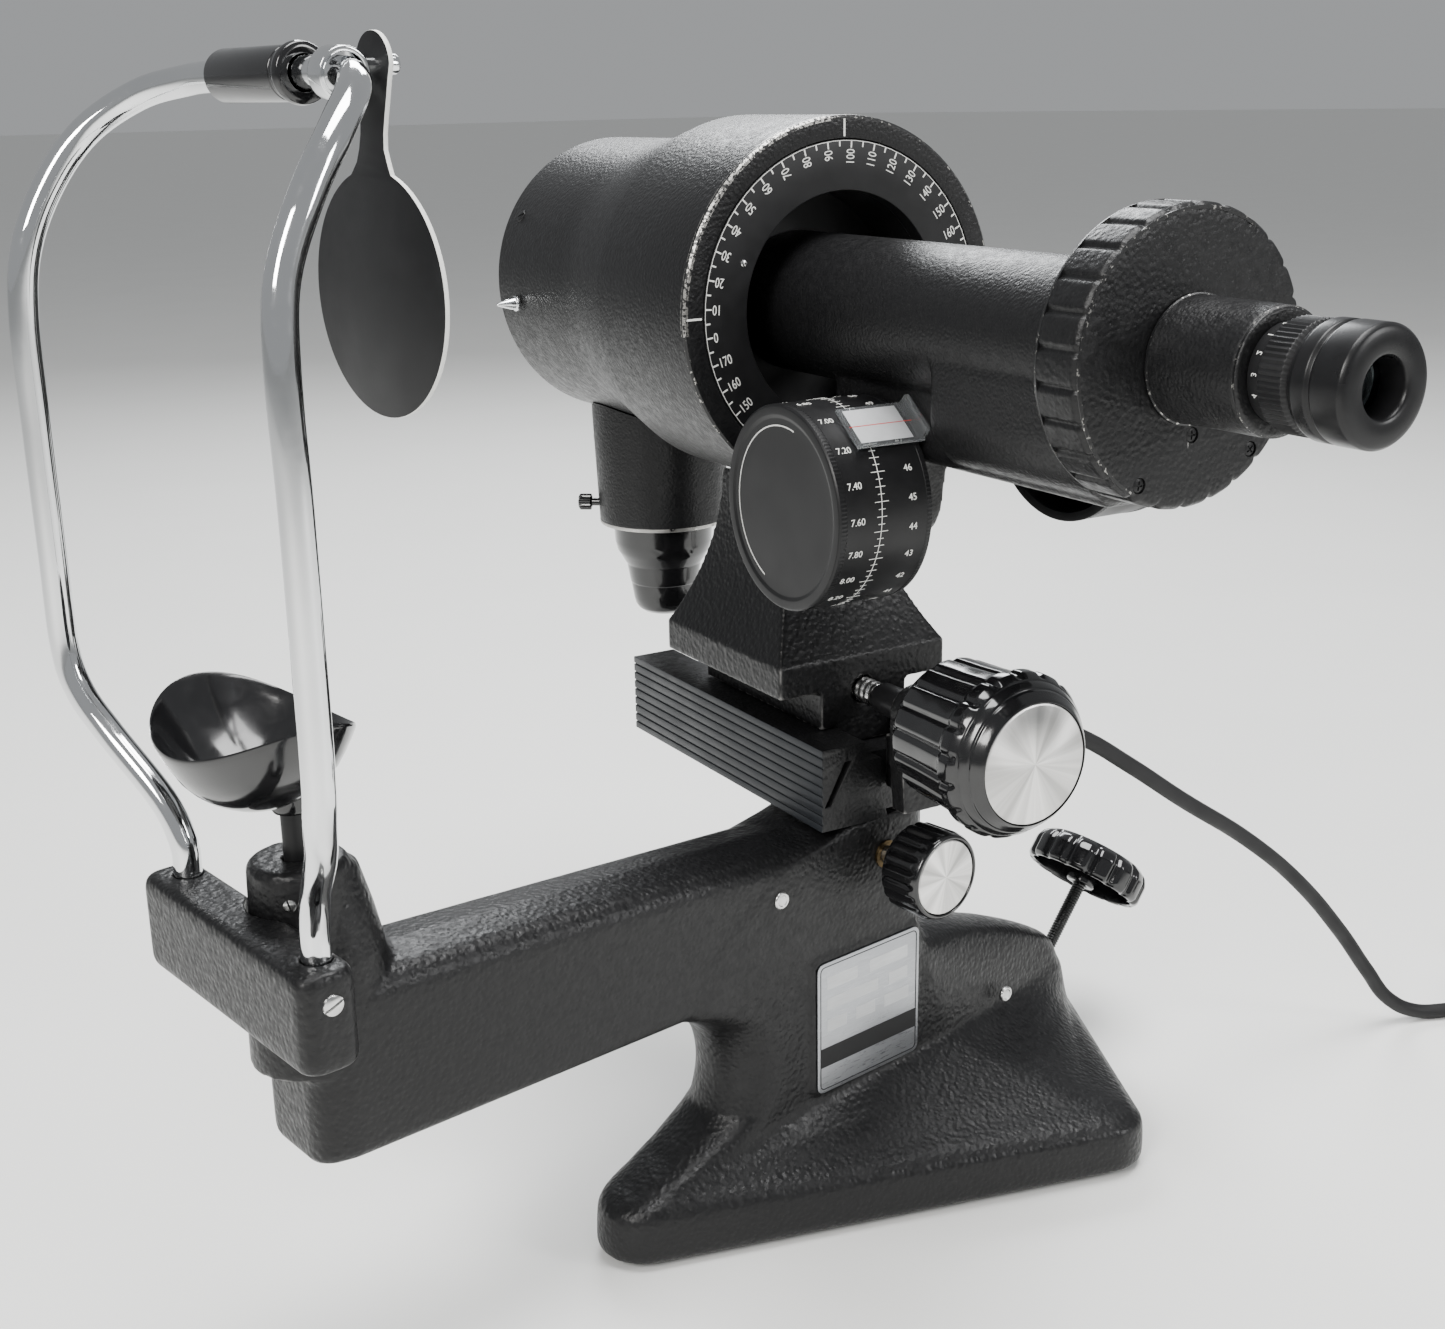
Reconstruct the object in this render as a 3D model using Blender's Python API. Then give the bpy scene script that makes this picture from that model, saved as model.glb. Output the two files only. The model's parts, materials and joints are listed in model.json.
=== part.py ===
"""A table keratometer: a one-arm cast base with a chin and head rest, a swivelling slide, and a
rotating telescope barrel in a round housing.

Lengths in this file are millimetres and are turned into metres as each mesh is made. Pieces are drawn
in one of two frames. The base frame has +X away from the patient, and the instrument side at -X is
where the patient sits. The head frame is the base frame turned about the column by HEAD_TURN, with
+X along the telescope towards the operator's eye.
"""

import math

import bmesh
import bpy
import numpy as np
from mathutils import Vector

MM = 0.001
GAP = 0.3                      # clearance between pieces that touch
SIDES = 18                     # flats round a turned piece

# Where the column stands, so that the origin is under the middle of the object's box.
COLUMN = (61.53, 32.08)
HEAD_TURN = -99.8              # degrees from the working position

# Base casting
SIDE = 27.2                    # half width of the pedestal
ARM_HALF = 25.0
ARM_BOTTOM = 121.5
ARM_END = -303.0
PEDESTAL_TOP = 189.0
FLOOR_GAP = 4.0                # the casting stands this high on its pads
PAD_R = 15.0
TOES = ((-133.0, 0.0, 22.0), (84.0, 93.0, 22.0), (84.0, -93.0, 22.0))
POST_X = -291.0
BOSS_TOP = 243.0
PLUGS = ((-68.0, 165.0), (89.0, 64.0))     # x and z of the two steel plugs in the near side

# Rests for the patient
TUBE_R = 5.55
BAR = ((-327.0, -66.0, 187.0), (-303.6, 66.0, 226.0))
CROWN_X = -277.0
CROWN_Z = 524.5
PIVOT = (-53.0, 526.5)         # y and z of the occluder's pivot
OCCLUDER_X = -265.3
CUP = (-304.0, 34.0, 46.0)     # middle along X, half sizes along X and Y

# Lift and swivel
COLUMN_R = 13.0
PINION = (-2.0, 169.5)         # x and z of the elevation shaft
BED = ((-145.0, -39.0, 192.0), (35.0, 39.0, 231.5))
GROOVE_FLOOR = 222.2
SCREW_Z = 248.0

# Carriage and telescope
BLOCK = ((-93.0, -46.4, 250.0), (12.0, 46.4, 265.5))
AXIS_Z = 423.4
RIM_R = 83.0
FRONT_R = 71.7
FACE_X = -5.2
FRONT_X = -223.0
DIAL_R = 72.6
HOLE_R = 51.0
BARREL_R = 32.0
COVER_X = 190.0
COVER_R = 54.1
LAMP_X = -180.0
LAMP_SCREW = (-0.6, -0.8, 0)       # outward along the thumb screw
NEAR_DRUM = (45.0, -75.0, 44.0)    # x, z from the telescope axis, radius
FAR_DRUM = (104.0, -37.0, 45.0)

# Mains cord
CORD_R = 4.0
CURSOR_TILT = 52.0             # degrees round the drum from straight back
COIL_MIDDLE = (396.0, -199.0)
COIL_R = 44.0                  # middle of the turns
PLUG = (426.0, -124.0)         # where the cord meets the plug


# ---------------------------------------------------------------------------------------- tools

def clear_scene():
    for obj in list(bpy.data.objects):
        bpy.data.objects.remove(obj, do_unlink=True)


def frame_empty(name, turn):
    empty = bpy.data.objects.new(name, None)
    bpy.context.scene.collection.objects.link(empty)
    empty.location = (COLUMN[0] * MM, COLUMN[1] * MM, 0)
    empty.rotation_euler = (0, 0, math.radians(turn))
    return empty


def surface(name, look):
    """A Principled material of the piece's own, from (colour, roughness, metallic)."""
    material = bpy.data.materials.new(name)
    material.use_nodes = True
    shader = material.node_tree.nodes["Principled BSDF"]
    colour, roughness, metallic = look
    shader.inputs["Base Color"].default_value = (*colour, 1)
    shader.inputs["Roughness"].default_value = roughness
    shader.inputs["Metallic"].default_value = metallic
    return material


BLACK_CAST = ((0.02, 0.02, 0.021), 0.45, 0.0)
SATIN_BLACK = ((0.03, 0.03, 0.032), 0.4, 0.0)
GLOSS_BLACK = ((0.012, 0.012, 0.013), 0.12, 0.0)
GREY_PAINT = ((0.08, 0.08, 0.085), 0.4, 0.0)
CHROME = ((0.8, 0.8, 0.82), 0.08, 1.0)
STEEL = ((0.5, 0.5, 0.5), 0.3, 1.0)
SPUN = ((0.75, 0.75, 0.74), 0.28, 1.0)
BRASS = ((0.7, 0.5, 0.2), 0.3, 1.0)
RUBBER = ((0.02, 0.02, 0.02), 0.8, 0.0)
GLASS = ((0.85, 0.9, 0.92), 0.05, 0.0)
CLEAR = ((0.9, 0.9, 0.9), 0.1, 0.0)


def direction(axis):
    """The turn that takes a piece drawn along +Z to the given axis."""
    return Vector((0, 0, 1)).rotation_difference(Vector(axis))


def add(name, shape, look, frame, at=(0, 0, 0), axis=(0, 0, 1)):
    """Makes an object from (points, faces) drawn in millimetres about the piece's own origin."""
    points, faces = shape
    mesh = bpy.data.meshes.new(name)
    mesh.from_pydata([tuple(c * MM for c in point) for point in points], [], faces)
    work = bmesh.new()
    work.from_mesh(mesh)
    bmesh.ops.recalc_face_normals(work, faces=work.faces)
    work.to_mesh(mesh)
    work.free()
    mesh.shade_smooth()
    mesh.set_sharp_from_angle(angle=math.radians(38))
    if look:
        mesh.materials.append(surface(name, look))
    obj = bpy.data.objects.new(name, mesh)
    bpy.context.scene.collection.objects.link(obj)
    obj.parent = frame
    obj.location = tuple(c * MM for c in at)
    obj.rotation_mode = "QUATERNION"
    obj.rotation_quaternion = direction(axis)
    return obj


def helper(shape, frame, at=(0, 0, 0), axis=(0, 0, 1)):
    """A solid used only by a Boolean."""
    obj = add("helper", shape, None, frame, at, axis)
    obj.hide_render = True
    obj.display_type = "WIRE"
    return obj


def combine(obj, other, operation):
    step = obj.modifiers.new(operation.lower(), "BOOLEAN")
    step.operation = operation
    step.object = other
    step.solver = "EXACT"


def cut(obj, *others):
    for other in others:
        combine(obj, other, "DIFFERENCE")


def join(obj, *others):
    for other in others:
        combine(obj, other, "UNION")


def turned(profile, sides=SIDES, loop=False, ripple=None):
    """Spins (radius, height) pairs about Z. A loop joins its last pair to its first.

    ripple is (count, depth, least radius): grooves cut into every row wider than the least radius.
    """
    points = []
    rows = []
    for radius, height in profile:
        count = 1 if radius == 0 else sides
        rows.append([len(points) + k for k in range(count)])
        for k in range(count):
            angle = math.tau * k / sides
            reach = radius
            if ripple and radius > ripple[2] and (k * ripple[0] * 4 // sides) % 4 >= 2:
                reach -= ripple[1]
            points.append((reach * math.cos(angle), reach * math.sin(angle), height))
    pairs = list(zip(rows, rows[1:]))
    if loop:
        pairs.append((rows[-1], rows[0]))
    faces = []
    for upper, lower in pairs:
        for k in range(sides):
            corner = [upper[k % len(upper)], upper[(k + 1) % len(upper)],
                      lower[(k + 1) % len(lower)], lower[k % len(lower)]]
            face = list(dict.fromkeys(corner))
            if len(face) > 2:
                faces.append(face)
    return points, faces


def drum(radius, low, high, sides=SIDES):
    """A plain solid of revolution, for bores and cutters."""
    return turned([(0, high), (radius, high), (radius, low), (0, low)], sides)


def loft(rings):
    """A closed skin over rings of equally many points, capped flat at both ends."""
    count = len(rings[0])
    points = [point for ring in rings for point in ring]
    faces = []
    for level in range(len(rings) - 1):
        first = level * count
        for k in range(count):
            after = (k + 1) % count
            faces.append([first + k, first + after, first + count + after])
            faces.append([first + k, first + count + after, first + count + k])
    faces.append(list(range(count)))
    faces.append([len(points) - count + k for k in range(count)])
    return points, faces


def prism(outline, low, high, along="z"):
    """Extrudes a flat outline. along names the axis that it runs on: x takes (y, z) pairs, and so on."""
    place = {"x": lambda u, v, w: (w, u, v), "y": lambda u, v, w: (u, w, v), "z": lambda u, v, w: (u, v, w)}
    return loft([[place[along](u, v, w) for u, v in outline] for w in (low, high)])


def box(low, high):
    outline = [(low[0], low[1]), (high[0], low[1]), (high[0], high[1]), (low[0], high[1])]
    return prism(outline, low[2], high[2])


def arc(middle, radius, start, end, steps):
    """Points on a circle, from one angle to another in degrees."""
    angles = [math.radians(start + (end - start) * k / steps) for k in range(steps + 1)]
    return [(middle[0] + radius * math.cos(a), middle[1] + radius * math.sin(a)) for a in angles]


def rounded(low, high, radius, steps=4):
    """A rectangle with round corners."""
    corners = (((high[0] - radius, low[1] + radius), -90), ((high[0] - radius, high[1] - radius), 0),
               ((low[0] + radius, high[1] - radius), 90), ((low[0] + radius, low[1] + radius), 180))
    outline = []
    for middle, start in corners:
        outline += arc(middle, radius, start, start + 90, steps)
    return outline


def smooth_path(route, spacing):
    """Points read about every spacing from a smooth curve through the route's points."""
    knots = [Vector(point) for point in route]
    knots = [2 * knots[0] - knots[1]] + knots + [2 * knots[-1] - knots[-2]]
    path = []
    for before, start, end, after in zip(knots, knots[1:], knots[2:], knots[3:]):
        steps = max(1, round((end - start).length / spacing))
        for k in range(steps):
            t = k / steps
            path.append(0.5 * (2 * start + (end - before) * t
                               + (2 * before - 5 * start + 4 * end - after) * t ** 2
                               + (3 * start - before - 3 * end + after) * t ** 3))
    return path + [knots[-2]]


def rod(name, route, radius, look, frame, spacing, resolution=2):
    """A round rod or cord: a curve with a bevel and filled ends."""
    path = smooth_path(route, spacing)
    curve = bpy.data.curves.new(name, "CURVE")
    curve.dimensions = "3D"
    curve.bevel_depth = radius * MM
    curve.bevel_resolution = resolution
    curve.use_fill_caps = True
    spline = curve.splines.new("POLY")
    spline.points.add(len(path) - 1)
    for point, place in zip(spline.points, path):
        point.co = (*(place * MM), 1)
    curve.materials.append(surface(name, look))
    obj = bpy.data.objects.new(name, curve)
    bpy.context.scene.collection.objects.link(obj)
    obj.parent = frame
    return obj


# ---------------------------------------------------------------------------------- base casting

def foot_level(z, front, side, rear):
    """One level of the foot: the hull of a front, two side and a rear circle, as 24 points.

    front and rear are (x, radius), side is (x, y, radius).
    """
    circles = ((front[0], 0, front[1]), (side[0], side[1], side[2]),
               (side[0], -side[1], side[2]), (rear[0], 0, rear[1]))
    ring = []
    for k in range(24):
        angle = math.tau * (k + 0.5) / 24
        u = Vector((math.cos(angle), math.sin(angle)))
        x, y, radius = max(circles, key=lambda c: c[0] * u.x + c[1] * u.y + c[2])
        ring.append((x + radius * u.x, y + radius * u.y, z))
    return ring


FOOT_LEVELS = (
    (4.0, (-133, 21.0), (84, 93, 21.0), (150, 19.0)),
    (7.0, (-133, 22.0), (84, 93, 22.0), (150, 20.0)),
    (25.0, (-133, 21.0), (84, 93, 21.0), (149, 19.0)),
    (29.0, (-131, 20.0), (82, 88, 20.0), (147, 18.0)),
    (34.0, (-120, 20.0), (74, 68, 20.0), (145, 17.0)),
    (42.0, (-100, 22.0), (63, 42, 20.0), (144, 16.0)),
    (55.0, (-75, 25.0), (45, 13, 17.0), (142, 15.0)),
    (60.0, (-70, 25.5), (42, 9, SIDE - 9), (140, 14.0)),
    (72.0, (-67, 25.5), (38, 9, SIDE - 9), (134, 13.0)),
    (84.0, (-67, 25.5), (34, 9, SIDE - 9), (113, 14.0)),
    (96.0, (-70, 25.5), (30, 9, SIDE - 9), (85, 15.0)),
    (106.0, (-77, 25.5), (24, 9, SIDE - 9), (52, 18.0)),
    (115.0, (-92, 25.5), (16, 6, SIDE - 6), (22, 18.0)),
    (124.0, (-112, 25.5), (11, 3, SIDE - 3), (12, 26.0)),
    (150.0, (-103, 25.5), (11, 3, SIDE - 3), (12, 26.0)),
    (180.0, (-60, 25.5), (11, 3, SIDE - 3), (12, 26.0)),
    (PEDESTAL_TOP, (-16, 25.5), (11, 3, SIDE - 3), (12, 26.0)),
)


def arm_section(x, half, top, bottom, crown):
    """The arm's cross-section: rounded below, crowned above."""
    outline = arc((-half + 5, bottom + 5), 5, 270, 180, 3)
    outline += arc((-half + 11, top - 11), 11, 180, 110, 3)
    outline += [(0, top + crown)]
    outline += arc((half - 11, top - 11), 11, 70, 0, 3)
    outline += arc((half - 5, bottom + 5), 5, 0, -90, 3)
    return [(x, y, z) for y, z in outline]


def lock_axis():
    """A point on the lock screw's axis and its direction, up and away from the foot."""
    return Vector((157, 0, 64)), Vector((0.643, 0, 0.766))


def base_casting(base):
    casting = add("base_casting", loft([foot_level(*level) for level in FOOT_LEVELS]), BLACK_CAST, base)
    sections = ((-20, 24.0, 186.0), (-60, ARM_HALF, 186.0), (-262, ARM_HALF, 196.0), (-288, ARM_HALF, 196.0),
                (-297, 23.0, 196.0), (-301, 20.0, 195.0), (ARM_END, 15.0, 193.0))
    arm = [arm_section(x, half, top, ARM_BOTTOM, 1.5) for x, half, top in sections]
    boss = [(0, BOSS_TOP), (17.5, BOSS_TOP), (19.3, BOSS_TOP - 2), (19.8, 222), (21.5, 205), (24.0, 190),
            (24.5, 160), (0, 160)]
    cheek = rounded((-50, 58), (22, 128), 4)
    apron = [(0, 238), (15, 238), (20, 220), (23.5, 204), (24.6, 190), (24.6, 160), (0, 160)]
    join(casting, helper(loft(arm), base), helper(turned(boss), base, (POST_X, 0, 0)),
         helper(turned(apron), base, (POST_X + 8, 0, 0)))
    join(casting, helper(prism(cheek, -SIDE - 0.4, -20, "y"), base))
    start, along = lock_axis()
    cut(casting,
        helper(drum(COLUMN_R + GAP, 62, 200), base),
        helper(drum(7 + GAP, 11, 40), base, (PINION[0], 0, PINION[1]), (0, -1, 0)),
        helper(drum(5.0 + GAP, 130, 250, 16), base, (POST_X, 0, 0)),
        helper(drum(4.0 + GAP, -30, 40, 16), base, tuple(start), tuple(along)))
    for x, z in PLUGS:
        cut(casting, helper(drum(4.2 + GAP, 24.6, 40, 16), base, (x, 0, z), (0, -1, 0)))
    cover = [(x - 12 * np.sign(x), y * 0.8) for x, y, z in foot_level(*FOOT_LEVELS[0])]
    cut(casting, helper(prism(cover, 2, 6), base))
    plate = [(x * 0.985, y * 0.985) for x, y in cover]
    add("base_cover", prism(plate, FLOOR_GAP, 5.6), GREY_PAINT, base)
    return casting


def base_fittings(base):
    pad = [(0, FLOOR_GAP - GAP), (PAD_R - 1, FLOOR_GAP - GAP), (PAD_R, 3), (PAD_R, 0.8), (PAD_R - 1, 0), (0, 0)]
    for name, (x, y, _) in zip(("foot_pad_front", "foot_pad_left", "foot_pad_right"), TOES):
        add(name, turned(pad, 16), RUBBER, base, (x, y, 0))
    plate = rounded((-48, 58.5), (20, 126), 4)
    add("rating_plate", prism(plate, -SIDE - 1.5, -SIDE - 0.4 - GAP, "y"), SPUN, base)
    head = [(0, 26.9), (3.4, 26.9), (4.2, 26.4), (4.2, 25), (0, 25)]
    for name, (x, z) in zip(("arm_plug", "hump_plug"), PLUGS):
        add(name, turned(head, 16), STEEL, base, (x, 0, z), (0, -1, 0))
    bush = [(4.3, 16), (6.9, 16), (6.9, SIDE + 0.5), (4.3, SIDE + 0.5)]
    add("elevation_bush", turned(bush, 16, loop=True), BRASS, base, (PINION[0], 0, PINION[1]), (0, -1, 0))


# ------------------------------------------------------------------------------------ head rest

def tube_route(side):
    """Half of the head rest's frame, from its socket up to the middle of the crown."""
    half = [(-312.5, 51.5, 208), (-312.5, 51.5, 227), (-312.7, 52.3, 239), (-315.5, 61, 255),
            (-324, 84, 278), (-329.5, 96, 294), (-331.5, 101.5, 312), (-331.5, 102, 350), (-331.5, 102, 400), (-331.5, 101, 440),
            (-328, 99, 466), (-317, 97, 489), (-303, 92, 507), (-288, 78, 519), (-278.5, 58, 523.5),
            (CROWN_X, 36, CROWN_Z), (CROWN_X, 0.4, CROWN_Z)]
    return [(x, side * y, z) for x, y, z in half]


def headrest(base):
    low, high = BAR
    outline = rounded((low[0], low[1]), (high[0], high[1]), 7)
    rings = []
    for inset, z in ((3, low[2]), (0.8, low[2] + 2), (0, low[2] + 6), (0, high[2] - 6), (0.8, high[2] - 2),
                     (3, high[2])):
        middle = ((low[0] + high[0]) / 2, 0)
        rings.append([(x - inset * np.sign(x - middle[0]), y - inset * np.sign(y), z) for x, y in outline])
    bar = add("headrest_bar", loft(rings), BLACK_CAST, base)
    cut(bar, helper(drum(21, 215, 250), base, (POST_X, 0, 0)))
    cut(bar, helper(turned([(0, 216), (21, 216), (22.4, 205), (25, 190), (25.4, 180), (0, 180)]), base,
                    (POST_X, 0, 0)))
    for side in (-1, 1):
        cut(bar, helper(drum(TUBE_R + 0.5, 206, 240, 16), base, (-312.5, side * 51.5, 0)))
    for name, side in (("headrest_tube_right", -1), ("headrest_tube_left", 1)):
        rod(name, tube_route(side), TUBE_R, CHROME, base, 20, 2)
    sleeve = [(TUBE_R + 0.5, -28), (8.6, -28), (9.2, -27), (9.2, 22), (8.6, 22.8), (10, 23.4), (10.4, 25),
              (10, 27.4), (8.6, 28), (TUBE_R + 0.5, 28)]
    add("crown_sleeve", turned(sleeve, 16, loop=True), GLOSS_BLACK, base, (CROWN_X, 0, CROWN_Z), (0, -1, 0))


def occluder(base):
    pivot_x = -278.4
    collar = add("occluder_pivot", turned([(7.0, -5), (8.8, -5), (8.8, 5), (7.0, 5)], 20, loop=True),
                 CHROME, base, (pivot_x, PIVOT[0], PIVOT[1] - 2.8), (-0.1, -0.985, -0.06))
    pin = [(0, 21.5), (2.6, 21.5), (3.2, 20.8), (3.2, 14.5), (2.4, 14.2), (2.4, 7.8), (0, 7.8)]
    join(collar, helper(turned(pin, 16), base, (pivot_x, PIVOT[0], PIVOT[1]), (1, 0, 0)))
    middle = (-47.0, 453.0)
    radius = 41.0
    outline = arc(PIVOT, 10.5, 0, 180, 10)
    outline += [(-60.5, 518), (-57, 506), (-56.5, 500), (-58, 496)]
    outline += arc(middle, radius, 108, 432, 24)
    outline += [(-38.5, 496), (-41, 500), (-42.5, 506), (-43, 518)]
    local = [(y - PIVOT[0], z - PIVOT[1]) for y, z in outline]
    plate = add("occluder", prism(local, -0.9, 0.9, "x"), SATIN_BLACK, base, (OCCLUDER_X, *PIVOT))
    cut(plate, helper(drum(2.8, -6, 6, 16), base, (OCCLUDER_X, *PIVOT), (1, 0, 0)))


def cup_point(scale, rise, angle):
    """A point of the chin cup's skin, which dips at its front and back."""
    x = CUP[0] + CUP[1] * scale * math.cos(angle)
    y = CUP[2] * scale * math.sin(angle)
    saddle = -6.5 * math.cos(2 * angle) * scale ** 2
    return x, y, rise + saddle


def chin_rest(base):
    sides = 20
    inner = [(0.06, 273.0), (0.3, 275.0), (0.55, 281.0), (0.78, 290.0), (0.92, 297.5), (0.985, 301.5)]
    outer = [(1.0, 300.5), (0.95, 295.5), (0.8, 284.5), (0.57, 275.0), (0.32, 269.2), (0.1, 267.0)]
    rings = []
    for scale, z in inner + outer:
        rings.append([cup_point(scale, z, math.tau * k / sides) for k in range(sides)])
    cup = add("chin_cup", loft(rings), GLOSS_BLACK, base)
    hub = [(0, 276), (8.5, 276), (8.5, 264), (7.5, 262), (5.0 + GAP, 262), (5.0 + GAP, 267), (0, 267)]
    join(cup, helper(turned(hub, 16), base, (POST_X, 0, 0)))
    post = [(0, 266.6), (4.4, 266.6), (5.0, 266), (5.0, 152), (4, 151), (0, 151)]
    add("chin_post", turned(post, 16), SATIN_BLACK, base, (POST_X, 0, 0))


# -------------------------------------------------------------------- lock, lift, elevation knob

def lock_knob(base):
    start, along = lock_axis()
    screw = [(0, 46.5), (3.7, 46.5), (3.7, 2), (3.4, -24), (2.5, -26), (0, -26)]
    add("lock_screw", turned(screw, 16), STEEL, base, tuple(start), tuple(along))
    knob = [(0, 57), (27, 56), (32, 52), (33, 49), (33, 39), (31.5, 37), (29, 37), (28.5, 50), (9, 51),
            (8, 35), (4.0, 35), (4.0, 46.8), (0, 46.8)]
    add("lock_knob", turned(knob, 30, ripple=(15, 1.6, 30.5)), GLOSS_BLACK, base, tuple(start), tuple(along))


def elevation_knob(base):
    at = (PINION[0], 0, PINION[1])
    along = (0, -1, 0)
    knob = [(0, 65), (18.3, 65), (18.4, 66.4), (20, 66), (21.3, 62), (21, 45), (19, 43), (8, 41),
            (7.4, 34), (4.2, 34), (4.2, 56), (0, 56)]
    add("elevation_knob", turned(knob, 20, ripple=(10, 1.8, 19.5)), GLOSS_BLACK, base, at, along)
    insert = [(0, 66), (17.4, 66), (17.9, 65.6), (17.9, 65.3), (0, 65.3)]
    add("elevation_insert", turned(insert), SPUN, base, at, along)
    shaft = [(0, 55.6), (3.9, 55.6), (3.9, 13.5), (0, 13.5)]
    pinion = add("elevation_pinion", turned(shaft, 16), STEEL, base, at, along)
    gear = [(0, 14.5), (5, 14.5), (5, 1), (0, 1)]
    join(pinion, helper(turned(gear, 32, ripple=(8, 1.2, 4)), base, at, along))


def lift_column(base):
    column = [(0, 218.5), (COLUMN_R - 1, 218.5), (COLUMN_R, 217.5), (COLUMN_R, 191.7), (20, 191.7),
              (20, 189.4), (COLUMN_R, 189.4), (COLUMN_R, 68), (COLUMN_R - 1, 67), (0, 67)]
    lift = add("lift_column", turned(column), STEEL, base)
    x, z = PINION
    teeth = []
    for k in range(8):
        low = 134 + 6 * k
        teeth += [(x + 5.6, low), (x + 6.8, low + 1), (x + 6.8, low + 3), (x + 5.6, low + 4)]
    slot = [(x - 6, 131.5), (x + 5.6, 131.5)] + teeth + [(x + 5.6, 185.5), (x - 6, 185.5)]
    cut(lift, helper(prism(slot, -20, 1, "y"), base))


# -------------------------------------------------------------------------------- swivelling slide

def slide_bed(head):
    low, high = BED
    half = high[1]
    outline = [(-half, low[2]), (half, low[2]), (half, high[2]), (15, high[2]), (19, GROOVE_FLOOR),
               (-19, GROOVE_FLOOR), (-15, high[2]), (-half, high[2])]
    bed = add("slide_bed", prism(outline, low[0], high[0], "x"), BLACK_CAST, head)
    notch = [(-2, 191), (40, 191), (40, 233), (-6, 233), (-6, 206)]
    slot = [(-37.5, 203.5), (-34, 204), (-22.5, 224), (-26.5, 224)]
    cut(bed, helper(drum(COLUMN_R + 0.4, 190, 219), head),
        helper(prism(notch, 26, 40, "x"), head), helper(prism(slot, 28, 40, "x"), head))
    for k in range(8):
        z = 195.2 + 4.6 * k
        cut(bed, helper(box((-150, -half - 1, z), (40, -half + 0.7, z + 0.9)), head))


def screw_bracket(head):
    """The end bearing of the focusing screw, with an arm along the far side of the bed."""
    outline = [(-11, 203), (-12.5, 226), (-12.8, 240)] + arc((0, SCREW_Z), 13, 195, 0, 12)
    outline += [(14, 236), (44, 234), (44, 203)]
    plate = add("screw_bracket", prism(outline, 50, 60, "x"), BLACK_CAST, head)
    join(plate, helper(box((26.5, 2, 204), (51, 36, 230)), head),
         helper(box((36, 33, 204.5), (51, 43.5, 246)), head))
    join(plate, helper(box((14, 39.5, 226), (38, 43.5, 246)), head))
    cut(plate, helper(drum(5.0 + GAP, 40, 70, 24), head, (0, 0, SCREW_Z), (1, 0, 0)))


def focus_drive(head):
    at = (0, 0, SCREW_Z)
    along = (1, 0, 0)
    knob = [(0, 134.4), (26.4, 134.4), (26.6, 135.8), (29, 133), (35.5, 124), (36.5, 122), (36.5, 117),
            (33.8, 113), (32, 79), (29, 75), (9, 73), (8, 64), (4.2, 64), (4.2, 104), (0, 104)]
    add("focus_knob", turned(knob, 36, ripple=(18, 1.5, 31.5)), GLOSS_BLACK, head, at, along)
    insert = [(0, 135.6), (25.4, 135.6), (26.1, 135.2), (26.1, 134.7), (0, 134.7)]
    add("focus_insert", turned(insert, 24), SPUN, head, at, along)
    screw = [(0, 103.6), (3.9, 103.6), (3.9, 62), (4.95, 61.5), (4.95, 49.6), (7.6, 49.4), (7.2, 28), (6.2, 25),
             (6.2, -58), (5.2, -60), (0, -60)]
    add("focus_screw", turned(screw, 16), STEEL, head, at, along)


# --------------------------------------------------------------------------------------- carriage

def carriage(head):
    low, high = BLOCK
    saddle = add("carriage_saddle", box(low, high), BLACK_CAST, head)
    rib = [(-14.1, 233), (-18.3, GROOVE_FLOOR + GAP), (18.3, GROOVE_FLOOR + GAP), (14.1, 233)]
    flare = []
    for t in (0, 0.12, 0.26, 0.42, 0.6, 0.8, 1.0):
        ease = (1 - t) ** 2.2
        z = high[2] - 0.5 + 84 * t
        x0 = -76 - 17 * ease
        x1 = -19 + 31 * ease
        half = 23 + 23.4 * ease
        flare.append([(x0, -half, z), (x1, -half, z), (x1, half, z), (x0, half, z)])
    join(saddle, helper(box((low[0], -24, 232), (high[0], 24, 251)), head),
         helper(prism(rib, low[0], high[0], "x"), head), helper(loft(flare), head))
    cut(saddle, helper(drum(6.2 + 0.4, -88, 20, 24), head, (0, 0, SCREW_Z), (1, 0, 0)),
        helper(drum(RIM_R + 1.2, -140, 40, 32), head, (0, 0, AXIS_Z), (1, 0, 0)))


def housing(head):
    at = (0, 0, AXIS_Z)
    along = (1, 0, 0)
    land = DIAL_R + 0.8
    shell = [(land, FACE_X), (82, FACE_X), (RIM_R, FACE_X - 1), (RIM_R, -86), (72.6, -132),
             (FRONT_R, -150), (FRONT_R, FRONT_X + 1), (FRONT_R - 1, FRONT_X), (66, FRONT_X), (66, -134),
             (77, -88), (77, -17), (land, -17)]
    add("housing", turned(shell, 30, loop=True), BLACK_CAST, head, at, along)
    ring = [(56.8, -44), (76.2, -44), (76.2, -24), (56.8, -24)]
    add("barrel_bearing", turned(ring, 24, loop=True), BRASS, head, at, along)
    front = [(34, -217), (65.6, -217), (65.6, -221), (34, -221)]
    add("front_plate", turned(front, 24, loop=True), SATIN_BLACK, head, at, along)
    glass = [(20, -217.5), (33.7, -217.5), (33.7, -220), (20, -220)]
    add("mire_glass", turned(glass, 24, loop=True), GLASS, head, at, along)
    lens = [(0, -213.6), (10, -214.2), (19.6, -216), (19.6, -219), (10, -221), (0, -221.6)]
    add("objective_lens", turned(lens, 24), GLASS, head, at, along)
    pin = [(0, 84), (0.8, 83.4), (3.0, 76), (3.2, 74.2), (4.0, 73.8), (4.0, 72.2), (0, 72.2)]
    for name, side in (("sight_pin_right", -1), ("sight_pin_left", 1)):
        add(name, turned(pin, 16), CHROME, head, (-198, 0, AXIS_Z - 9), (0, side, 0))


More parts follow.
